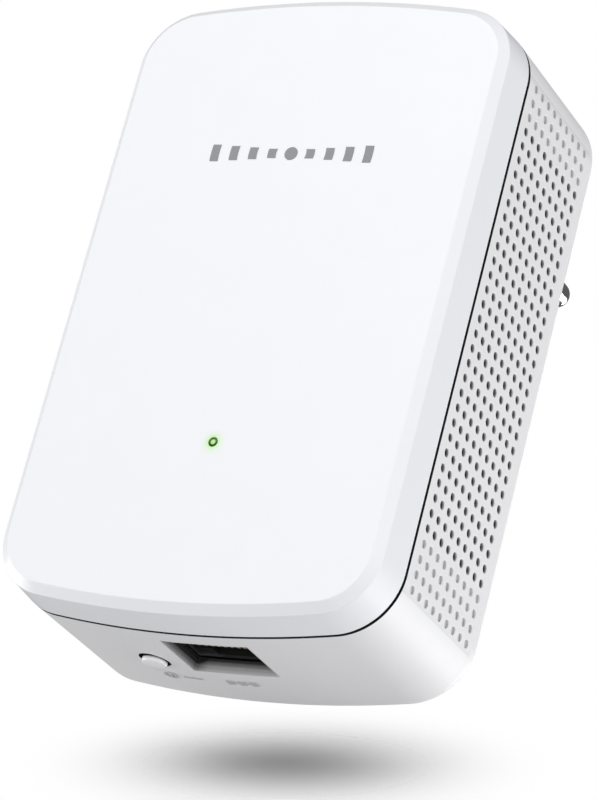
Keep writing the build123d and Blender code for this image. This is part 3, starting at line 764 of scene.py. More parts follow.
@dataclass
class Patchwork:
    """Vertices and faces of one piece, gathered before they become a mesh.

    Attributes:
        points: Arrays of vertices, one per patch.
        faces: Lists of faces as vertex numbers, one per patch.
        finishes: The number of the material of each patch.
    """

    points: list[Array] = field(default_factory=list)
    faces: list[list[Sequence[int]]] = field(default_factory=list)
    finishes: list[int] = field(default_factory=list)

    def add(self, points: Array, faces: Iterable[Sequence[int]], finish: int = 0) -> Patchwork:
        """Adds one closed patch, turned so that its faces look outwards.

        The signed volume, a sixth of the sum of a . (b x c) over a fan of triangles, is negative
        where they look inwards.

        Args:
            points: Vertices, one per row.
            faces: Vertex numbers of each face.
            finish: Number of the material.

        Returns:
            This patchwork.
        """
        rings = [list(face) for face in faces]
        fan = np.array([(r[0], r[i], r[i + 1]) for r in rings for i in range(1, len(r) - 1)])
        first, second, third = points[fan[:, 0]], points[fan[:, 1]], points[fan[:, 2]]
        if np.einsum("ij,ij->", first, np.cross(second, third)) < 0:
            rings = [ring[::-1] for ring in rings]
        self.points.append(points)
        self.faces.append(rings)
        self.finishes.append(finish)
        return self

    def build(self, name: str, finishes: Sequence[bpy.types.Material], skin: Skin) -> bpy.types.Object:
        """Makes the object.

        Args:
            name: Its name.
            finishes: Its materials.
            skin: How its edges are shaded.

        Returns:
            The object, at the origin.
        """
        starts = np.cumsum([0] + [len(points) for points in self.points[:-1]])
        faces = [[i + start for i in ring] for start, rings in zip(starts, self.faces) for ring in rings]
        owners = np.repeat(self.finishes, [len(rings) for rings in self.faces])
        mesh = bpy.data.meshes.new(name)
        mesh.from_pydata(np.vstack(self.points).tolist(), [], faces)
        for finish in finishes:
            mesh.materials.append(finish)
        mesh.polygons.foreach_set("material_index", owners.astype(np.int32))
        mesh.update()
        piece = bpy.data.objects.new(name, mesh)
        bpy.context.scene.collection.objects.link(piece)
        shade(piece, skin)
        return piece


def shade(piece: bpy.types.Object, skin: Skin) -> None:
    """Smooths a mesh but for edges that turn more sharply than the skin's angle.

    Args:
        piece: The object.
        skin: How its edges are shaded.
    """
    piece.data.shade_smooth()
    piece.data.set_sharp_from_angle(angle=skin.value)


def tube_faces(rows: int, columns: int, wraps: bool) -> list[tuple[int, int, int, int]]:
    """Quads between neighbouring rings of a grid whose columns close on themselves.

    Args:
        rows: Number of rings.
        columns: Points in each ring.
        wraps: True if the last ring joins the first.

    Returns:
        The quads.
    """
    numbers = np.arange(rows * columns).reshape(rows, columns)
    below = numbers if wraps else numbers[:-1]
    above = np.roll(numbers, -1, axis=0) if wraps else numbers[1:]
    quads = np.stack([below, np.roll(below, -1, 1), np.roll(above, -1, 1), above], axis=-1)
    return [tuple(quad) for quad in quads.reshape(-1, 4).tolist()]


def capped(rings: Array) -> tuple[Array, list[Sequence[int]]]:
    """Closes a stack of rings with a flat face at each end.

    Args:
        rings: Rows of points, shaped (rows, columns, 3).

    Returns:
        Points and faces.
    """
    rows, columns, _ = rings.shape
    faces: list[Sequence[int]] = list(tube_faces(rows, columns, wraps=False))
    faces.append(list(range(columns))[::-1])
    faces.append(list(range((rows - 1) * columns, rows * columns)))
    return rings.reshape(-1, 3), faces


def eased(corners: Array, radii: Array, steps: int = 6) -> Array:
    """A path whose inner corners are rounded.

    At each corner p, with unit vectors a and b towards its neighbours and t half the angle between
    them, the arc's centre is p + (a + b) / |a + b| * r / sin t. It starts at p + a * r / tan t and
    ends at p + b * r / tan t, and the points between turn evenly from the one to the other.

    Args:
        corners: Points, shaped (n, 2).
        radii: One radius for each inner corner, shaped (n - 2,).
        steps: Points per corner, less one.

    Returns:
        The rounded path's points.
    """
    here = corners[1:-1]
    back = corners[:-2] - here
    ahead = corners[2:] - here
    back = back / np.linalg.norm(back, axis=1, keepdims=True)
    ahead = ahead / np.linalg.norm(ahead, axis=1, keepdims=True)
    half = np.arccos(np.clip((back * ahead).sum(1), -1, 1)) / 2
    middle = back + ahead
    middle = middle / np.linalg.norm(middle, axis=1, keepdims=True)
    centre = here + middle * (radii / np.sin(half))[:, None]
    first = here + back * (radii / np.tan(half))[:, None] - centre
    last = here + ahead * (radii / np.tan(half))[:, None] - centre
    sweep = np.pi - 2 * half
    turn = np.linspace(0, 1, steps + 1)[None, :]
    share_first = np.sin((1 - turn) * sweep[:, None]) / np.sin(sweep)[:, None]
    share_last = np.sin(turn * sweep[:, None]) / np.sin(sweep)[:, None]
    arcs = (
        centre[:, None, :]
        + share_first[:, :, None] * first[:, None, :]
        + share_last[:, :, None] * last[:, None, :]
    )
    return np.vstack([corners[:1], arcs.reshape(-1, 2), corners[-1:]])


@dataclass(frozen=True)
class Outline:
    """A closed outline in the x-z plane: straight sides, shallow arcs for ends, round corners.

    The corner's centre lies at x = w - r and z = c + sqrt((R - r)^2 - (w - r)^2), where w is half the
    width, r the corner's radius, R the end's radius and c = h - R the height of the end's centre.

    Attributes:
        half_width: Half the width.
        half_height: Half the height, at the middle of the ends.
        corner: The corners' radius.
        crown: The ends' radius, or half the height for a slot.
        middle: Height of the outline's centre.
    """

    half_width: float
    half_height: float
    corner: float
    crown: float
    middle: float

    def sample(
        self, corner_steps: int = 24, crown_steps: int = 12, side_steps: int = 6
    ) -> tuple[Array, Array]:
        """Points and outward unit normals, anticlockwise from the right side's middle.

        One quarter is a run of normals' angles and centres: the side, the corner and the half end. The
        other three are its mirror images.

        Args:
            corner_steps: Points on a corner.
            crown_steps: Points on half an end.
            side_steps: Points on half a side.

        Returns:
            Points and normals, each shaped (n, 2).
        """
        w, h, r, crown = self.half_width, self.half_height, self.corner, self.crown
        rise = math.sqrt((crown - r) ** 2 - (w - r) ** 2)
        corner_z = h - crown + rise
        tangent = math.atan2(rise, w - r)
        side = np.stack([np.full(side_steps, w), np.linspace(0, corner_z, side_steps, endpoint=False)], 1)
        side_normal = np.tile([1.0, 0.0], (side_steps, 1))
        turn = np.linspace(0, tangent, corner_steps, endpoint=False)
        corner_normal = np.stack([np.cos(turn), np.sin(turn)], 1)
        corner = np.array([w - r, corner_z]) + r * corner_normal
        arc = np.linspace(tangent, np.pi / 2, crown_steps, endpoint=False)
        end_normal = np.stack([np.cos(arc), np.sin(arc)], 1)
        end = np.array([0.0, h - crown]) + crown * end_normal
        quarter = np.vstack([side, corner, end])
        normal = np.vstack([side_normal, corner_normal, end_normal])
        top = np.array([[0.0, h]])
        up = np.array([[0.0, 1.0]])
        flip_x, flip_z = np.array([-1.0, 1.0]), np.array([1.0, -1.0])
        points = np.vstack(
            [quarter, top, quarter[:0:-1] * flip_x, quarter * -1.0, top * flip_z, quarter[:0:-1] * flip_z]
        )
        normals = np.vstack(
            [normal, up, normal[:0:-1] * flip_x, normal * -1.0, up * flip_z, normal[:0:-1] * flip_z]
        )
        return points, normals

    def carry(self, profile: Array) -> Array:
        """Carries a profile round the outline.

        A profile point (inset, depth) lands at the outline's point less inset times its normal, at
        y = -depth.

        Args:
            profile: Pairs of inset and depth, shaped (m, 2).

        Returns:
            Points, shaped (m, n, 3).
        """
        points, normals = self.sample()
        flat = points[None] - profile[:, 0, None, None] * normals[None]
        depth = np.broadcast_to(-profile[:, 1, None], flat.shape[:2])
        return np.stack([flat[..., 0], depth, flat[..., 1] + self.middle], axis=-1)


def turned(profile: Array, centre: Sequence[float], axis: str, steps: int = 48) -> Array:
    """Turns a profile about an axis.

    A profile point (radius, distance) lands at centre + distance along the axis + radius times the
    two other directions' cosine and sine.

    Args:
        profile: Pairs of radius and distance along the axis, shaped (m, 2).
        centre: A point on the axis, from which the distance counts.
        axis: "y" or "z".
        steps: Points in a ring.

    Returns:
        Points, shaped (m, steps, 3).
    """
    angle = np.linspace(0, 2 * np.pi, steps, endpoint=False)[None, :]
    radius, distance = profile[:, 0, None], profile[:, 1, None]
    across, other = radius * np.cos(angle), radius * np.sin(angle)
    along = np.broadcast_to(distance, across.shape)
    order = (across, along, other) if axis == "y" else (across, other, along)
    return np.stack(order, axis=-1) + np.asarray(centre, float)


def rounded_box_rings(half: Array, corner: float, centre: Array, heights: Array, steps: int = 4) -> Array:
    """Stacks rounded rectangles, level with the floor of the drawing, one above the other.

    Args:
        half: Half width and half length of each ring, shaped (m, 2).
        corner: The corners' radius.
        centre: Middle of the stack in x and y.
        heights: The z of each ring, shaped (m,).
        steps: Points per corner, less one.

    Returns:
        Points, shaped (m, n, 3).
    """
    angle = (np.arange(4)[:, None] * np.pi / 2 + np.linspace(0, np.pi / 2, steps + 1)[None, :]).ravel()
    unit = np.stack([np.cos(angle), np.sin(angle)], 1)
    quadrant = np.repeat(np.array([[1, 1], [-1, 1], [-1, -1], [1, -1]]), steps + 1, axis=0)
    flat = quadrant[None] * (half[:, None, :] - corner) + corner * unit[None] + centre
    level = np.broadcast_to(heights[:, None], flat.shape[:2])
    return np.stack([flat[..., 0], flat[..., 1], level], axis=-1)


def cut(piece: bpy.types.Object, cutter: bpy.types.Object, skin: Skin) -> None:
    """Takes a cutter's volume out of a piece and deletes the cutter.

    Args:
        piece: The piece.
        cutter: A closed mesh.
        skin: How the piece's edges are shaded afterwards.
    """
    boolean = piece.modifiers.new("cut", "BOOLEAN")
    boolean.operation = "DIFFERENCE"
    boolean.solver = "MANIFOLD"
    boolean.object = cutter
    bpy.context.view_layer.update()
    evaluated = piece.evaluated_get(bpy.context.evaluated_depsgraph_get())
    mesh = bpy.data.meshes.new_from_object(evaluated)
    piece.modifiers.clear()
    old = piece.data
    piece.data = mesh
    mesh.name = old.name
    bpy.data.meshes.remove(old)
    bpy.data.objects.remove(cutter)
    shade(piece, skin)


def settle_normals(piece: bpy.types.Object) -> None:
    """Lets large faces rule the shading, so that flats stay flat beside their rounded edges.

    Args:
        piece: The piece.
    """
    weighted = piece.modifiers.new("weighted", "WEIGHTED_NORMAL")
    weighted.mode = "FACE_AREA"
    weighted.weight = 90
    weighted.keep_sharp = True


def node_box(*nodes: str) -> tuple[Array, Array]:
    """The joint box of some CAD nodes.

    Args:
        *nodes: Their names.

    Returns:
        Its lowest and highest corners.
    """
    boxes = [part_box(node) for node in nodes]
    low = np.min([np.array(box[0]) for box in boxes], axis=0)
    high = np.max([np.array(box[1]) for box in boxes], axis=0)
    return low, high


# ------------------------------------------------------------------ sub-assemblies


@dataclass
class Enclosure:
    """The two shells: a bevelled front cover and a vented rear housing, with a seam between.

    Attributes:
        corner: Corner radius of the outline at the seam.
        crown: Radius of the outline's shallow ends.
        side: Depth of the cover's side, seam to front face.
        draft: How far the cover's side leans in on its way to the bevel.
        bevel: The bevel's inset and depth.
        gap: Width of the seam.
        tongue: Inset and height of the housing's tongue, which the seam shows.
        wall: Thickness of the housing's wall.
        front_wall: Thickness of the front face.
        back_edge: Radius of the housing's back edge.
    """

    corner: float = 9.2 * MM
    crown: float = 157.0 * MM
    side: float = 7.2 * MM
    draft: float = 0.46 * MM
    bevel: tuple[float, float] = (1.34 * MM, 1.19 * MM)
    gap: float = 0.46 * MM
    tongue: tuple[float, float] = (1.1 * MM, 2.0 * MM)
    wall: float = 1.8 * MM
    front_wall: float = 2.0 * MM
    back_edge: float = 2.5 * MM
    vents: VentField = field(default_factory=lambda: VentField())
    socket: SocketRecess = field(default_factory=lambda: SocketRecess())

    def __post_init__(self) -> None:
        """Takes the outline's size and place from the frame."""
        low, high = node_box("front_cover")
        self.depth = -low[1]
        self.outline = Outline(
            half_width=(high[0] - low[0]) / 2,
            half_height=(high[2] - low[2]) / 2,
            corner=self.corner,
            crown=self.crown,
            middle=(high[2] + low[2]) / 2,
        )

    def bottom_at(self, x: Array) -> Array:
        """Height of the crowned bottom: the middle less h - R + sqrt(R^2 - x^2)."""
        outline = self.outline
        return outline.middle - (outline.half_height - outline.crown + np.sqrt(outline.crown**2 - x**2))

    def cover_shell(self, light: Array, hole: float) -> Patchwork:
        """The cover: its profile carried round the outline, closed through the light's hole.

        Args:
            light: x and z of the light's hole.
            hole: The hole's radius.

        Returns:
            The shell, a ring-shaped surface.
        """
        rim = self.depth - self.side + self.gap / 2
        inside = self.depth - self.front_wall
        rebate = self.tongue[0] - 0.1 * MM
        flat = 4.0 * MM
        bevel_inset, bevel_depth = self.bevel
        corners = np.array(
            [
                (flat, inside),
                (2.0 * MM, inside),
                (2.0 * MM, rim + self.tongue[1]),
                (rebate, rim + self.tongue[1]),
                (rebate, rim),
                (0.0, rim),
                (self.draft, self.depth - bevel_depth),
                (self.draft + bevel_inset, self.depth),
                (flat, self.depth),
            ]
        )
        radii = np.array([0.4, 0.1, 0.1, 0.08, 0.1, 0.22, 0.26]) * MM
        rings = self.outline.carry(eased(corners, radii))
        lip = 0.06 * MM
        hole_profile = [(hole + lip, self.depth), (hole, self.depth - lip), (hole, inside)]
        away = np.arctan2(rings[-1][:, 2] - light[1], rings[-1][:, 0] - light[0])
        circles = [
            np.stack(
                [
                    light[0] + radius * np.cos(away),
                    np.full_like(away, -depth),
                    light[1] + radius * np.sin(away),
                ],
                axis=-1,
            )
            for radius, depth in hole_profile
        ]
        shell = np.concatenate([rings, np.stack(circles)])
        rows, columns, _ = shell.shape
        return Patchwork().add(shell.reshape(-1, 3), tube_faces(rows, columns, wraps=True))

    def housing_shell(self) -> Patchwork:
        """The housing without its openings: a profile from the back, over the rim, to the floor inside.

        Returns:
            The shell.
        """
        rim = self.depth - self.side - self.gap / 2
        flat = 6.0 * MM
        corners = np.array(
            [
                (flat, 0.0),
                (0.0, 0.0),
                (0.0, rim),
                (self.tongue[0], rim),
                (self.tongue[0], rim + self.tongue[1]),
                (self.wall, rim + self.tongue[1]),
                (self.wall, 2.0 * MM),
                (flat, 2.0 * MM),
            ]
        )
        radii = np.array([self.back_edge / MM, 0.1, 0.08, 0.1, 0.1, 0.6]) * MM
        points, faces = capped(self.outline.carry(eased(corners, radii, steps=10)))
        return Patchwork().add(points, faces)

    def symbols(self) -> Patchwork:
        """Raised marks on the bottom: ring and bar by the button, linked squares by the socket.

        Returns:
            The marks, joined in one surface.
        """
        work = Patchwork()
        button = node_box("reset_button")
        x = (button[0][0] + button[1][0]) / 2
        y = -9.0 * MM
        size = 2.1 * MM
        turn = np.linspace(0, 2 * np.pi, 40, endpoint=False)
        circle = np.stack([np.cos(turn), np.sin(turn)], 1)
        outer = np.array([x, y]) + circle * size / 2
        inner = np.array([x, y]) + circle * (size / 2 - 0.36 * MM)
        levels = [(outer, -0.15), (outer, 0.2), (inner, 0.2), (inner, -0.15)]
        rings = np.stack([self._seated(flat, rise * MM) for flat, rise in levels])
        work.add(rings.reshape(-1, 3), tube_faces(4, len(turn), wraps=True))
        socket_x = self.socket.centre[0] - 0.6 * MM
        bars = [(x, y + size / 4, 0.18, size / MM / 4), (x + 3.6 * MM, y, 1.5, 0.2), (socket_x, y, 1.6, 0.17)]
        bars += [(socket_x + step * 1.9 * MM, y, 0.5, 0.62) for step in (-1, 0, 1)]
        for centre_x, centre_y, half_x, half_y in bars:
            across = np.array([(1, 1), (-1, 1), (-1, -1), (1, -1)]) * np.array([half_x, half_y]) * MM
            flat = across + np.array([centre_x, centre_y])
            stack = np.stack([self._seated(flat, -0.15 * MM), self._seated(flat, 0.2 * MM)])
            work.add(*capped(stack))
        return work

    def _seated(self, flat: Array, rise: float) -> Array:
        """Points over the crowned bottom at these x and y, raised by rise."""
        return np.column_stack([flat, self.bottom_at(flat[:, 0]) + rise])

    def build(self, finishes: Wardrobe) -> None:
        """Makes the cover, the housing and its symbols, and cuts the openings.

        Args:
            finishes: The materials.
        """
        low, high = node_box("light_pipe")
        light = np.array([(low[0] + high[0]) / 2, (low[2] + high[2]) / 2])
        cover = self.cover_shell(light, 0.7 * MM).build("cover_shell", [finishes["cover_white"]], Skin.CRISP)
        settle_normals(cover)
        place(cover, "extender", "cover_white", "front_cover")

        housing = self.housing_shell().build("housing_shell", [finishes["housing_white"]], Skin.CRISP)
        for name, cutter in self.cutters().items():
            cut(housing, cutter.build(name, [finishes["housing_white"]], Skin.CRISP), Skin.CRISP)
        settle_normals(housing)
        place(housing, "extender", "housing_white", "rear_housing")
        # the marks carry painted shade, a mid grey for the shading of their relief
        marks = self.symbols().build("bottom_symbols", [finishes["symbol_painted_shade"]], Skin.CRISP)
        place(marks, "extender", "housing_white")

    def cutters(self) -> dict[str, Patchwork]:
        """The housing's openings as closed volumes, by name."""
        return {
            "vent_cutter": self.vents.prisms(self.outline),
            "socket_cutter": self.socket.prism(),
            "button_cutter": self._button_hole(),
            "boss_cutter": self._slot(0.1 * MM, -1.0 * MM, 3.0 * MM),
            "label_cutter": self._label_panel(),
        }

    def _button_hole(self) -> Patchwork:
        """A round hole through the bottom with a fine chamfer at its mouth.

        Returns:
            The volume.
        """
        low, high = node_box("reset_button")
        centre_x = (low[0] + high[0]) / 2
        centre_y = high[1] - (high[0] - low[0]) / 2
        mouth = float(self.bottom_at(np.array(centre_x)))
        profile = np.array([(2.39, -1.0), (2.38, 0.0), (2.30, 0.08), (2.30, 3.0)]) * MM
        return Patchwork().add(*capped(turned(profile, (centre_x, centre_y, mouth), "z")))

    def _slot(self, grow: float, start: float, end: float) -> Patchwork:
        """A slot-shaped volume round the plug's boss, between two depths."""
        outline = boss_outline(grow)
        return Patchwork().add(*capped(outline.carry(np.array([(0.0, start), (0.0, end)]))))

    def _label_panel(self) -> Patchwork:
        """A shallow round-cornered recess round the label.

        Returns:
            The volume.
        """
        low, high = node_box("rating_label")
        margin = 0.2 * MM
        outline = Outline(
            half_width=(high[0] - low[0]) / 2 + margin,
            half_height=(high[2] - low[2]) / 2 + margin,
            corner=2.2 * MM,
            crown=50.0,
            middle=(high[2] + low[2]) / 2,
        )
        profile = np.array([(-0.06, -1.0), (-0.06, 0.0), (0.0, 0.06), (0.0, 0.2)]) * MM
        return Patchwork().add(*capped(outline.carry(profile)))


@dataclass
class VentField:
    """The rows of small round vents in both sides: open in the middle, blind at both ends.

    Attributes:
        diameter: A vent's diameter.
        columns: Columns, back to front.
        rows: Rows, bottom to top.
        blind_below: Blind rows at the bottom.
        blind_above: Blind rows at the top.
        pitch: Spacing of the columns and of the rows.
        depth: How far the field's middle is in front of the back face.
        dimple: Depth of a blind vent.
        sides: Points round a vent.
    """

    diameter: float = 1.2 * MM
    columns: int = 9
    rows: int = 35
    blind_below: int = 4
    blind_above: int = 3
    pitch: tuple[float, float] = (2.276 * MM, 2.198 * MM)
    depth: float = 14.0 * MM
    dimple: float = 0.42 * MM
    sides: int = 16

    def prisms(self, outline: Outline) -> Patchwork:
        """Every vent as a closed volume with a flared mouth.

        Ring k of a vent is a circle in the y-z plane, at x = side * (w + offset_k) and of radius_k.

        Args:
            outline: The enclosure's outline.

        Returns:
            The volumes.
        """
        column, row = np.meshgrid(np.arange(self.columns), np.arange(self.rows))
        centre_y = -self.depth + (column - (self.columns - 1) / 2) * self.pitch[0]
        centre_z = outline.middle + (row - (self.rows - 1) / 2) * self.pitch[1]
        blind = (row < self.blind_below) | (row >= self.rows - self.blind_above)
        reach = np.where(blind, self.dimple, 4.0 * MM)
        radius = self.diameter / 2
        flare = 0.09 * MM
        angle = np.linspace(0, 2 * np.pi, self.sides, endpoint=False)
        radii = np.array([radius + flare, radius + flare, radius, radius])
        work = Patchwork()
        for side in (-1, 1):
            offsets = np.stack(np.broadcast_arrays(0.8 * MM, 0.0, -flare, -reach), axis=-1)
            x = side * (outline.half_width + offsets)[..., None] + 0 * angle
            y = centre_y[..., None, None] + radii[:, None] * np.cos(angle)
            z = centre_z[..., None, None] + radii[:, None] * np.sin(angle)
            vents = np.stack(np.broadcast_arrays(x, y, z), axis=-1).reshape(-1, 4 * self.sides, 3)
            _, pattern = capped(vents[0].reshape(4, self.sides, 3))
            faces = [
                [number + start for number in face]
                for start in range(0, len(vents) * 4 * self.sides, 4 * self.sides)
                for face in pattern
            ]
            work.add(vents.reshape(-1, 3), faces)
        return work


@dataclass
class SocketRecess:
    """The stepped rectangular recess round the network socket.

    Attributes:
        size: Width and front-to-back length of its mouth.
        steps: Inset and height of each turn of its wall, from the mouth up.
        corner: Radius of its upright corners.
        depth: How far its middle is in front of the back face.
    """

    size: tuple[float, float] = (13.5 * MM, 10.6 * MM)
    steps: tuple[tuple[float, float], ...] = (
        (0.0, 0.0),
        (0.15, 0.06),
        (0.2, 0.75),
        (0.5, 0.8),
        (0.55, 1.25),
        (0.75, 1.3),
        (0.8, 4.0),
    )
    corner: float = 0.25 * MM
    depth: float = 17.3 * MM

    def __post_init__(self) -> None:
        """Takes its place from the socket's shield."""
        low, high = node_box("jack_shield")
        self.centre = np.array([(low[0] + high[0]) / 2, -self.depth])
        self.mouth = node_box("front_cover")[0][2]

    def prism(self) -> Patchwork:
        """The recess as a closed volume: rounded rectangles stacked by its steps.

        Returns:
            The volume.
        """
        steps = np.array([(0.0, -1.0), *self.steps]) * MM
        half = np.array(self.size) / 2 - steps[:, :1]
        rings = rounded_box_rings(half, self.corner, self.centre, self.mouth + steps[:, 1])
        return Patchwork().add(*capped(rings))


def boss_outline(grow: float = 0.0) -> Outline:
    """The plug boss's outline: a slot as wide and as high as the boss, grown all round.

    Args:
        grow: How much it is grown.

    Returns:
        The outline.
    """
    half_width = 17.65 * MM + grow
    half_height = 6.85 * MM + grow
    return Outline(half_width, half_height, corner=0.985 * half_height, crown=50.0, middle=0.0)


@dataclass
class MainsPlug:
    """The boss behind the housing, its two pins and their sleeves.

    Attributes:
        boss_edge: Radius of the boss's outer edge.
        tip: Length of a pin's bare tip.
        bare: Radius of the bare tip.
        shank: Radius under the sleeve.
        sleeve: Radius of the sleeve.
    """

    boss_edge: float = 1.2 * MM
    tip: float = 9.0 * MM
    bare: float = 2.0 * MM
    shank: float = 1.5 * MM
    sleeve: float = 1.75 * MM

    def build(self, finishes: Wardrobe) -> None:
        """Makes the boss, the pins and the sleeves.

        Args:
            finishes: The materials.
        """
        _, boss_high = node_box("plug_carrier")
        reach = boss_high[1]
        flat = 5.0 * MM
        corners = np.array([(flat, -reach), (0.0, -reach), (0.0, 1.0 * MM), (flat, 1.0 * MM)])
        rings = boss_outline().carry(eased(corners, np.array([self.boss_edge, 0.1 * MM]), steps=10))
        boss = Patchwork().add(*capped(rings)).build("plug_boss", [finishes["housing_white"]], Skin.CRISP)
        settle_normals(boss)
        place(boss, "extender", "housing_white", "plug_carrier")
        for name in ("left", "right"):
            low, high = node_box(f"plug_pin_{name}")
            axis = ((low[0] + high[0]) / 2, 0.0, (low[2] + high[2]) / 2)
            self._pin(name, axis, low[1], high[1], finishes)
            self._sleeve(name, axis, reach, high[1] - self.tip, finishes)

    def _pin(self, name: str, axis: Sequence[float], start: float, end: float, finishes: Wardrobe) -> None:
        """Turns one pin: a thin shank, a step out, and a bare tip with a round end.

        Args:
            name: Left or right.
            axis: A point on its axis.
            start: The y of its inner end.
            end: The y of its outer end.
            finishes: The materials.
        """
        corners = np.array(
            [
                (0.05 * MM, end),
                (self.bare, end),
                (self.bare, end - self.tip),
                (self.shank, end - self.tip),
                (self.shank, start),
                (0.05 * MM, start),
            ]
        )
        radii = np.array([self.bare * 0.9, 0.12 * MM, 0.05 * MM, 0.1 * MM])
        rings = turned(eased(corners, radii, steps=10), axis, "y", steps=64)
        pin = Patchwork().add(*capped(rings)).build(f"pin_{name}", [finishes["pin_metal"]], Skin.CRISP)
        settle_normals(pin)
        place(pin, "extender", "pin_metal", f"plug_pin_{name}")

    def _sleeve(self, name: str, axis: Sequence[float], start: float, end: float, finishes: Wardrobe) -> None:
        """Turns one sleeve: a tube with soft edges.

        Args:
            name: Left or right.
            axis: A point on its axis.
            start: The y of its inner end.
            end: The y of its outer end.
            finishes: The materials.
        """
        corners = np.array([(self.shank, start), (self.sleeve, start), (self.sleeve, end), (self.shank, end)])
        rings = turned(eased(corners, np.array([0.08, 0.08]) * MM), axis, "y")
        rows, columns, _ = rings.shape
        work = Patchwork().add(rings.reshape(-1, 3), tube_faces(rows, columns, wraps=True))
        sleeve = work.build(f"sleeve_{name}", [finishes["sleeve_plastic"]], Skin.CRISP)
        place(sleeve, "extender", "sleeve_plastic", f"pin_sleeve_{name}")


@dataclass
class ResetButton:
    """The round button in the bottom, with its flange and the arm that reaches the switch.

    Attributes:
        radius: The cap's radius.
        crown: How far the middle of its end stands proud of the edge.
        flange: The flange's radius.
    """

    radius: float = 1.8 * MM
    crown: float = 0.12 * MM
    flange: float = 2.8 * MM

    def build(self, finishes: Wardrobe) -> None:
        """Turns the cap and adds the arm.

        Args:
            finishes: The materials.
        """
        low, high = node_box("reset_button")
        centre_x = (low[0] + high[0]) / 2
        centre_y = high[1] - self.flange
        arm, flange = 1.6 * MM, 1.0 * MM
        top = high[2] - low[2]
        corners = np.array(
            [
                (0.05 * MM, 0.0),
                (0.9 * MM, self.crown * 0.25),
                (self.radius - 0.1 * MM, self.crown),
                (self.radius, self.crown + 0.3 * MM),
                (self.radius, top - arm - flange),
                (self.flange, top - arm - flange),
                (self.flange, top - arm),
                (0.05 * MM, top - arm),
            ]
        )
        radii = np.array([0.6, 0.12, 0.1, 0.05, 0.1, 0.1]) * MM
        cap = turned(eased(corners, radii), (centre_x, centre_y, low[2]), "z", steps=64)
        work = Patchwork().add(*capped(cap))
        half = np.array([1.3 * MM, (high[1] - low[1] - self.flange + 1.3 * MM) / 2])
        middle = np.array([centre_x, low[1] + half[1]])
        heights = np.array([high[2] - arm, high[2]])
        work.add(*capped(rounded_box_rings(np.stack([half, half]), 1.2 * MM, middle, heights)))
        button = work.build("button_cap", [finishes["button_white"]], Skin.CRISP)
        settle_normals(button)
        place(button, "reset_button", "button_white", "reset_button")


@dataclass
class ContactSprings:
    """The eight gold springs of the network socket, which show along the front of its mouth.

    Attributes:
        count: How many.
        pitch: Their spacing.
        width: Width of one.
        thickness: Its thickness.
        path: Its middle line in y and z, from the tail on the board to the free end, in metres.
    """

    count: int = 8
    pitch: float = 1.02 * MM
    width: float = 0.5 * MM
    thickness: float = 0.3 * MM
    path: tuple[tuple[float, float], ...] = (
        (-25.4, -78.0),
        (-21.2, -78.0),
        (-18.4, -80.1),
        (-17.3, -80.0),
        (-19.4, -70.9),
    )

    def build(self, finishes: Wardrobe) -> None:
        """Makes every spring as a rectangle carried along the path.

        The rectangle's corners are the path's point plus or minus half the width in x, and plus or
        minus half the thickness along the path's normal (-dz, dy).

        Args:
            finishes: The materials.
        """
        low, high = node_box("jack_contacts")
        middle = (low[0] + high[0]) / 2
        line = eased(np.array(self.path) * MM, np.array([0.5, 0.4, 0.25]) * MM)
        along = np.gradient(line, axis=0)
        along = along / np.linalg.norm(along, axis=1, keepdims=True)
        normal = np.stack([-along[:, 1], along[:, 0]], 1) * self.thickness / 2
        sides = np.array([(1, 1), (-1, 1), (-1, -1), (1, -1)])
        flat = line[:, None, :] + sides[None, :, 1, None] * normal[:, None, :]
        across = np.broadcast_to(sides[None, :, 0] * self.width / 2, flat.shape[:2])
        work = Patchwork()
        for number in range(self.count):
            x = across + middle + (number - (self.count - 1) / 2) * self.pitch
            work.add(*capped(np.concatenate([x[..., None], flat], axis=-1)))
        springs = work.build("contact_springs", [finishes["contact_gold"]], Skin.CRISP)
        place(springs, "extender", "contact_gold", "jack_contacts")


@dataclass
class StatusLight:
    """The light pipe, whose end shows in the front face.

    Attributes:
        radius: Radius of the end.
        foot: Radius of the foot behind the cover.
        wall: Thickness of the front face.
    """

    radius: float = 0.65 * MM
    foot: float = 2.0 * MM
    wall: float = 2.0 * MM

    def build(self, finishes: Wardrobe) -> None:
        """Turns the pipe, its end a shallow dome just below the front face.

        Args:
            finishes: The materials.
        """
        low, high = node_box("light_pipe")
        axis = ((low[0] + high[0]) / 2, low[1], (low[2] + high[2]) / 2)
        length = high[1] - low[1]
        corners = np.array(
            [
                (0.02 * MM, 0.0),
                (0.4 * MM, 0.03 * MM),
                (self.radius, 0.12 * MM),
                (self.radius, self.wall),
                (self.foot, self.wall),
                (self.foot, length),
                (0.02 * MM, length),
            ]
        )
        radii = np.array([0.2, 0.06, 0.05, 0.1, 0.1]) * MM
        rings = turned(eased(corners, radii), axis, "y")
        pipe = Patchwork().add(*capped(rings)).build("light_lens", [finishes["light_guide"]], Skin.ROUND)
        place(pipe, "extender", "light_guide", "light_pipe")


# ------------------------------------------------------------------ dressing


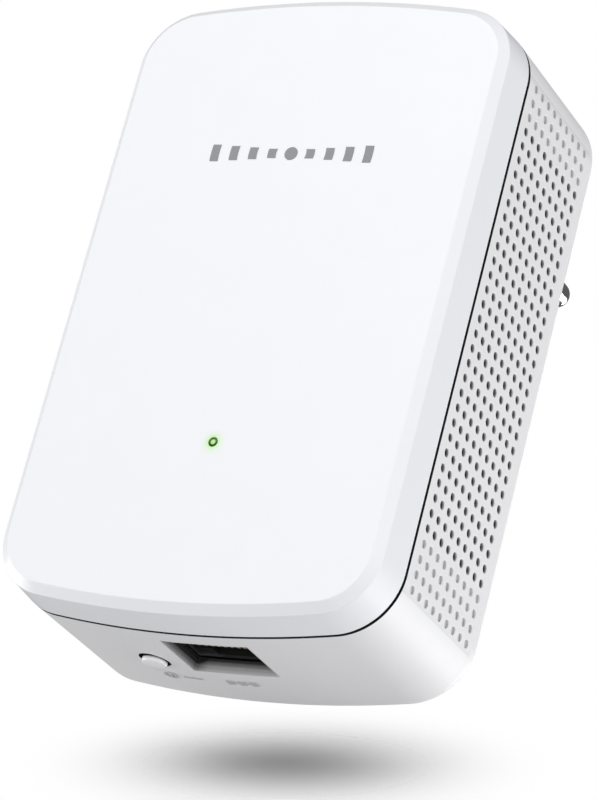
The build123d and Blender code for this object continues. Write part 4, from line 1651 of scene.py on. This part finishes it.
class Wardrobe(dict[str, bpy.types.Material]):
    """The materials by the record's slot names."""

    def __init__(self) -> None:
        """Makes every finish."""
        super().__init__()
        low, high = node_box("light_pipe")
        light = ((low[0] + high[0]) / 2, low[1], (low[2] + high[2]) / 2)
        finishes: dict[str, Any] = {
            "cover_white": PaintedGlowCover((0.86, 0.875, 0.90), 0.32, grain=0.2 * MM, depth=0.002 * MM, light=light),
            "housing_white": PaintedShadeShell((0.80, 0.80, 0.815), 0.5),
            # painted shade: the raised marks are the housing's plastic, coloured mid grey for the shading of
            # their relief
            "symbol_painted_shade": Moulding((0.50, 0.50, 0.51), 0.6),
            "mark_grey": Ink((0.27, 0.27, 0.28)),
            "label_film": Ink((0.60, 0.60, 0.61), 0.35),
            "light_guide": Lens(light),
            "led_resin": Moulding((0.55, 0.95, 0.40), 0.2),
            "pin_metal": Metal((0.78, 0.78, 0.79), 0.08, tarnish=0.05),
            "sleeve_plastic": Moulding((0.05, 0.05, 0.055), 0.4),
            "clip_brass": Metal((0.75, 0.56, 0.25), 0.3),
            "socket_black": Moulding((0.012, 0.014, 0.014), 0.42),
            "sheet_steel": Metal((0.55, 0.56, 0.56), 0.32, line=0.2 * MM),
            "contact_gold": Metal((0.97, 0.78, 0.42), 0.30),
            "button_white": ButtonCapWithPaintedShade((0.93, 0.93, 0.94), 0.32, depth=0.002 * MM),
            "switch_black": Moulding((0.03, 0.03, 0.035), 0.45),
            "board_green": Laminate((0.012, 0.10, 0.045), (0.03, 0.19, 0.08)),
            "board_tan": Laminate((0.30, 0.20, 0.09), (0.38, 0.27, 0.13), pitch=2.4 * MM),
            "chip_black": Moulding((0.02, 0.02, 0.022), 0.55, grain=0.08 * MM),
            "pad_grey": Soft((0.24, 0.28, 0.33)),
            "spreader_aluminium": Metal((0.72, 0.73, 0.74), 0.35, line=0.25 * MM),
            "film_amber": Ink((0.62, 0.58, 0.42), 0.25),
            "ferrite_grey": Soft((0.055, 0.055, 0.06), 0.15 * MM),
            "bobbin_black": Moulding((0.03, 0.03, 0.032), 0.5),
            "winding_tape": Wound((0.68, 0.48, 0.05)),
            "can_sleeve": Moulding((0.015, 0.025, 0.07), 0.3, depth=0.002 * MM),
            "ceramic_tan": Moulding((0.40, 0.29, 0.17), 0.5),
            "ceramic_blue": Moulding((0.02, 0.10, 0.32), 0.3),
            "fuse_case": Moulding((0.10, 0.10, 0.11), 0.5),
            "screw_steel": Metal((0.60, 0.60, 0.61), 0.28),
        }
        for slot, finish in finishes.items():
            self[slot] = finish.make(slot)

    def dress(self) -> None:
        """Gives every carried-over CAD node its slot's material."""
        slots = {part["node"]: part["material_slot"] for part in frame["record"]["subparts"]}
        for node, carried in frame["nodes"].items():
            for holder in carried.material_slots:
                holder.material = self[slots[node]]
        log.info("dressed %d CAD nodes", len(frame["nodes"]))


def place(piece: bpy.types.Object, body: str, slot: str, *nodes: str) -> None:
    """Hands a piece to its body and hides the CAD nodes it stands for.

    Args:
        piece: The piece.
        body: The CAD body it moves with.
        slot: The record's material slot; not used.
        *nodes: CAD nodes that it replaces.
    """
    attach(piece, body)
    if nodes:
        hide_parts(*nodes)
    log.info("%s: %d faces, on %s", piece.name, len(piece.data.polygons), body)


# ------------------------------------------------------------------ studio


@dataclass
class Camera:
    """The camera, looking up at the object from its lower right, and rolled.

    Attributes:
        azimuth: Degrees round from the front, towards the right.
        elevation: Degrees above the object; it is below.
        roll: Degrees of turn about the line of sight.
        distance: From the camera to what it aims at.
        aim: Offset of what it aims at from the body's middle.
        lens: Focal length in millimetres on a 36 mm long side.
    """

    azimuth: float = 31.04
    elevation: float = -21.37
    roll: float = 14.8
    distance: float = 536.4 * MM
    aim: tuple[float, float, float] = (5.9 * MM, -7.8 * MM, -11.3 * MM)
    lens: float = 178.6

    def __post_init__(self) -> None:
        """Works out where it stands and its right, up and forward directions."""
        turn, rise, roll = (math.radians(angle) for angle in (self.azimuth, self.elevation, self.roll))
        self.forward = Vector(
            (-math.sin(turn) * math.cos(rise), math.cos(turn) * math.cos(rise), -math.sin(rise))
        )
        level = Vector((math.cos(turn), math.sin(turn), 0.0))
        upright = level.cross(self.forward)
        self.right = math.cos(roll) * level + math.sin(roll) * upright
        self.up = self.right.cross(self.forward)
        low, high = node_box("front_cover", "rear_housing")
        self.target = Vector((low + high) / 2) + Vector(self.aim)
        self.place = self.target - self.forward * self.distance

    def build(self) -> None:
        """Adds the camera and makes it the scene's."""
        data = bpy.data.cameras.new("camera")
        data.lens = self.lens
        data.sensor_width = 36.0
        data.clip_start, data.clip_end = 0.01, 20.0
        camera = bpy.data.objects.new("camera", data)
        basis = Matrix((self.right, self.up, -self.forward)).transposed().to_4x4()
        camera.matrix_world = Matrix.Translation(self.place) @ basis
        bpy.context.scene.collection.objects.link(camera)
        bpy.context.scene.camera = camera

    def towards(self, right: float, up: float, back: float) -> Vector:
        """A direction given by how far it goes right, up and back towards the camera."""
        return (self.right * right + self.up * up - self.forward * back).normalized()


@dataclass(frozen=True)
class Softbox:
    """One square area light that faces the object.

    Attributes:
        name: Its name.
        direction: Right, up and back as the camera sees them.
        power: Watts.
        size: Side of the square.
        distance: From the object's middle.
    """

    name: str
    direction: tuple[float, float, float]
    power: float
    size: float = 0.5
    distance: float = 0.9

    def build(self, camera: Camera) -> None:
        """Adds the light.

        Args:
            camera: The camera, whose directions and target it follows.
        """
        data = bpy.data.lights.new(self.name, "AREA")
        data.energy = self.power
        data.shape = "SQUARE"
        data.size = self.size
        light = bpy.data.objects.new(self.name, data)
        away = camera.towards(*self.direction)
        light.location = camera.target + away * self.distance
        light.rotation_mode = "QUATERNION"
        light.rotation_quaternion = away.to_track_quat("Z", "Y")
        bpy.context.scene.collection.objects.link(light)


@dataclass(frozen=True)
class Flag:
    """A dark card that only mirrors can see; it draws the dark lines on bright metal.

    Attributes:
        name: Its name.
        direction: Where it stands, from the object's middle.
        size: Side of the square.
        distance: From the object's middle.
    """

    name: str
    direction: tuple[float, float, float]
    size: float
    distance: float = 0.8

    def build(self, camera: Camera) -> None:
        """Adds the card, facing the object.

        Args:
            camera: The camera, whose target it faces.
        """
        away = Vector(self.direction).normalized()
        turn = away.to_track_quat("Z", "Y")
        corners = [
            camera.target + away * self.distance + turn @ Vector((across, up, 0.0)) * self.size / 2
            for across, up in ((-1, -1), (1, -1), (1, 1), (-1, 1))
        ]
        mesh = bpy.data.meshes.new(self.name)
        mesh.from_pydata([tuple(corner) for corner in corners], [], [(3, 2, 1, 0)])
        shader = Shader(self.name)
        mesh.materials.append(
            shader.finish(
                Base_Color=(0.01, 0.01, 0.01),
                Roughness=0.9 + 0.02 * shader.noise(20 * MM),
                Specular_IOR_Level=0.0,
            )
        )
        card = bpy.data.objects.new(self.name, mesh)
        card.visible_camera = False
        card.visible_diffuse = False
        card.visible_shadow = False
        bpy.context.scene.collection.objects.link(card)


@dataclass
class Studio:
    """A pale floor below the object that thins into the white all round, a painted soft pool of shade round
    its real cast shadow, and soft lights.

    Attributes:
        tilt: Degrees by which the camera looks down on the floor.
        drop: How far the floor is below the line of sight, at the object.
        shift: How far the floor's middle lies left of the line of sight.
        reach: Distance from its middle at which the floor has thinned into the white.
        spread: Half the floor's side, in metres.
        paper: Linear colour of the floor.
        ambient: Strength of the light from all round.
        mirrored: The same, as bright metal mirrors it.
        lights: The area lights.
        flags: The dark cards.
    """

    tilt: float = 8.3
    drop: float = 49.3 * MM
    shift: float = 1.8 * MM
    reach: float = 42.0 * MM
    spread: float = 3.0
    paper: Colour = (0.54, 0.54, 0.54)
    ambient: float = 0.41
    mirrored: float = 0.12
    lights: tuple[Softbox, ...] = (
        Softbox("key", (-0.25, 0.90, 0.38), 5.0, 0.75),
        Softbox("fill", (-0.40, -0.10, 0.90), 2.1),
        Softbox("rim", (0.66, -0.56, -0.50), 4.0, 0.4),
        Softbox("low", (0.82, -0.36, 0.44), 0.88, 0.25, 0.5),
        Softbox("side", (0.92, 0.25, 0.30), 0.4),
        Softbox("edge", (-0.93, -0.22, -0.28), 3.6),
    )
    flags: tuple[Flag, ...] = (
        Flag("flag_behind", (-0.48, 0.80, 0.36), 0.5),
        Flag("flag_below", (0.10, 0.80, -0.59), 0.16),
    )

    def build(self, camera: Camera) -> None:
        """Adds the world, the floor and the lights.

        Args:
            camera: The camera, whose directions they follow.
        """
        self._world()
        self._floor(camera)
        for item in (*self.lights, *self.flags):
            item.build(camera)
        bpy.context.scene.view_settings.view_transform = "Standard"

    @staticmethod
    def _node(world: bpy.types.World, kind: str, **inputs: float) -> bpy.types.ShaderNode:
        """Adds a node to the world.

        Args:
            world: The world.
            kind: The node's type.
            **inputs: Values of its inputs, by name with _ for a space.

        Returns:
            The node.
        """
        node = world.node_tree.nodes.new(kind)
        for name, value in inputs.items():
            node.inputs[name.replace("_", " ")].default_value = value
        return node

    def _world(self) -> None:
        """White to look at, and softer as a light."""
        world = bpy.data.worlds.new("white")
        world.use_nodes = True
        links = world.node_tree.links
        background = world.node_tree.nodes["Background"]
        background.inputs["Color"].default_value = (1.0, 1.0, 1.0, 1.0)
        path = self._node(world, "ShaderNodeLightPath")
        mirrored = self._node(world, "ShaderNodeMapRange", To_Min=self.ambient, To_Max=self.mirrored)
        strength = self._node(world, "ShaderNodeMapRange", To_Max=1.0)
        links.new(path.outputs["Is Glossy Ray"], mirrored.inputs["Value"])
        links.new(mirrored.outputs["Result"], strength.inputs["To Min"])
        links.new(path.outputs["Is Camera Ray"], strength.inputs["Value"])
        links.new(strength.outputs["Result"], background.inputs["Strength"])
        bpy.context.scene.world = world

    def _floor(self, camera: Camera) -> None:
        """A wide pale sheet seen at a shallow angle; its back lets light and sight through. Its grey thins
        into the white with distance from its middle under the object, so it is a painted pool of shade round
        the real cast shadow.

        Args:
            camera: The camera, whose directions and target it follows.
        """
        tilt = math.radians(self.tilt)
        normal = camera.up * math.cos(tilt) - camera.forward * math.sin(tilt)
        ahead = camera.forward * math.cos(tilt) + camera.up * math.sin(tilt)
        middle = camera.target - camera.up * self.drop - camera.right * self.shift
        corners = [
            middle + camera.right * across * self.spread + ahead * along * self.spread
            for across, along in ((-1, -1), (1, -1), (1, 1), (-1, 1))
        ]
        mesh = bpy.data.meshes.new("floor")
        mesh.from_pydata([tuple(corner) for corner in corners], [], [(0, 1, 2, 3)])
        floor = bpy.data.objects.new("floor", mesh)
        bpy.context.scene.collection.objects.link(floor)
        if mesh.polygons[0].normal.dot(normal) < 0:
            mesh.flip_normals()
        shader = Shader("floor_paper")
        clear = shader.node("ShaderNodeBsdfTransparent")
        facing = shader.node("ShaderNodeNewGeometry").outputs["Backfacing"]
        either = shader.node("ShaderNodeMixShader")
        shader.feed(either.inputs[0], facing)
        shader.link(shader.surface.outputs[0], either.inputs[1])
        shader.link(clear.outputs[0], either.inputs[2])
        shader.link(either.outputs[0], shader.output.inputs["Surface"])
        # painted shade: the grey fades out with distance from under the object, a soft pool round the real
        # cast shadow
        share = shader.distance_to(middle).ramped(0.0, self.reach)
        mesh.materials.append(
            shader.finish(
                Base_Color=self.paper,
                Roughness=0.9 + 0.02 * shader.noise(20 * MM),
                Alpha=(1.0 - share * share) ** 4.0,
                Specular_IOR_Level=0.0,
            )
        )


def main() -> None:
    """Dresses the frame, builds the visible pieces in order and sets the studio."""
    logging.basicConfig(level=logging.INFO, format="%(name)s: %(message)s")
    finishes = Wardrobe()
    finishes.dress()
    Enclosure().build(finishes)
    MainsPlug().build(finishes)
    ResetButton().build(finishes)
    ContactSprings().build(finishes)
    StatusLight().build(finishes)
    camera = Camera()
    camera.build()
    Studio().build(camera)


if __name__ == "__main__":
    main()
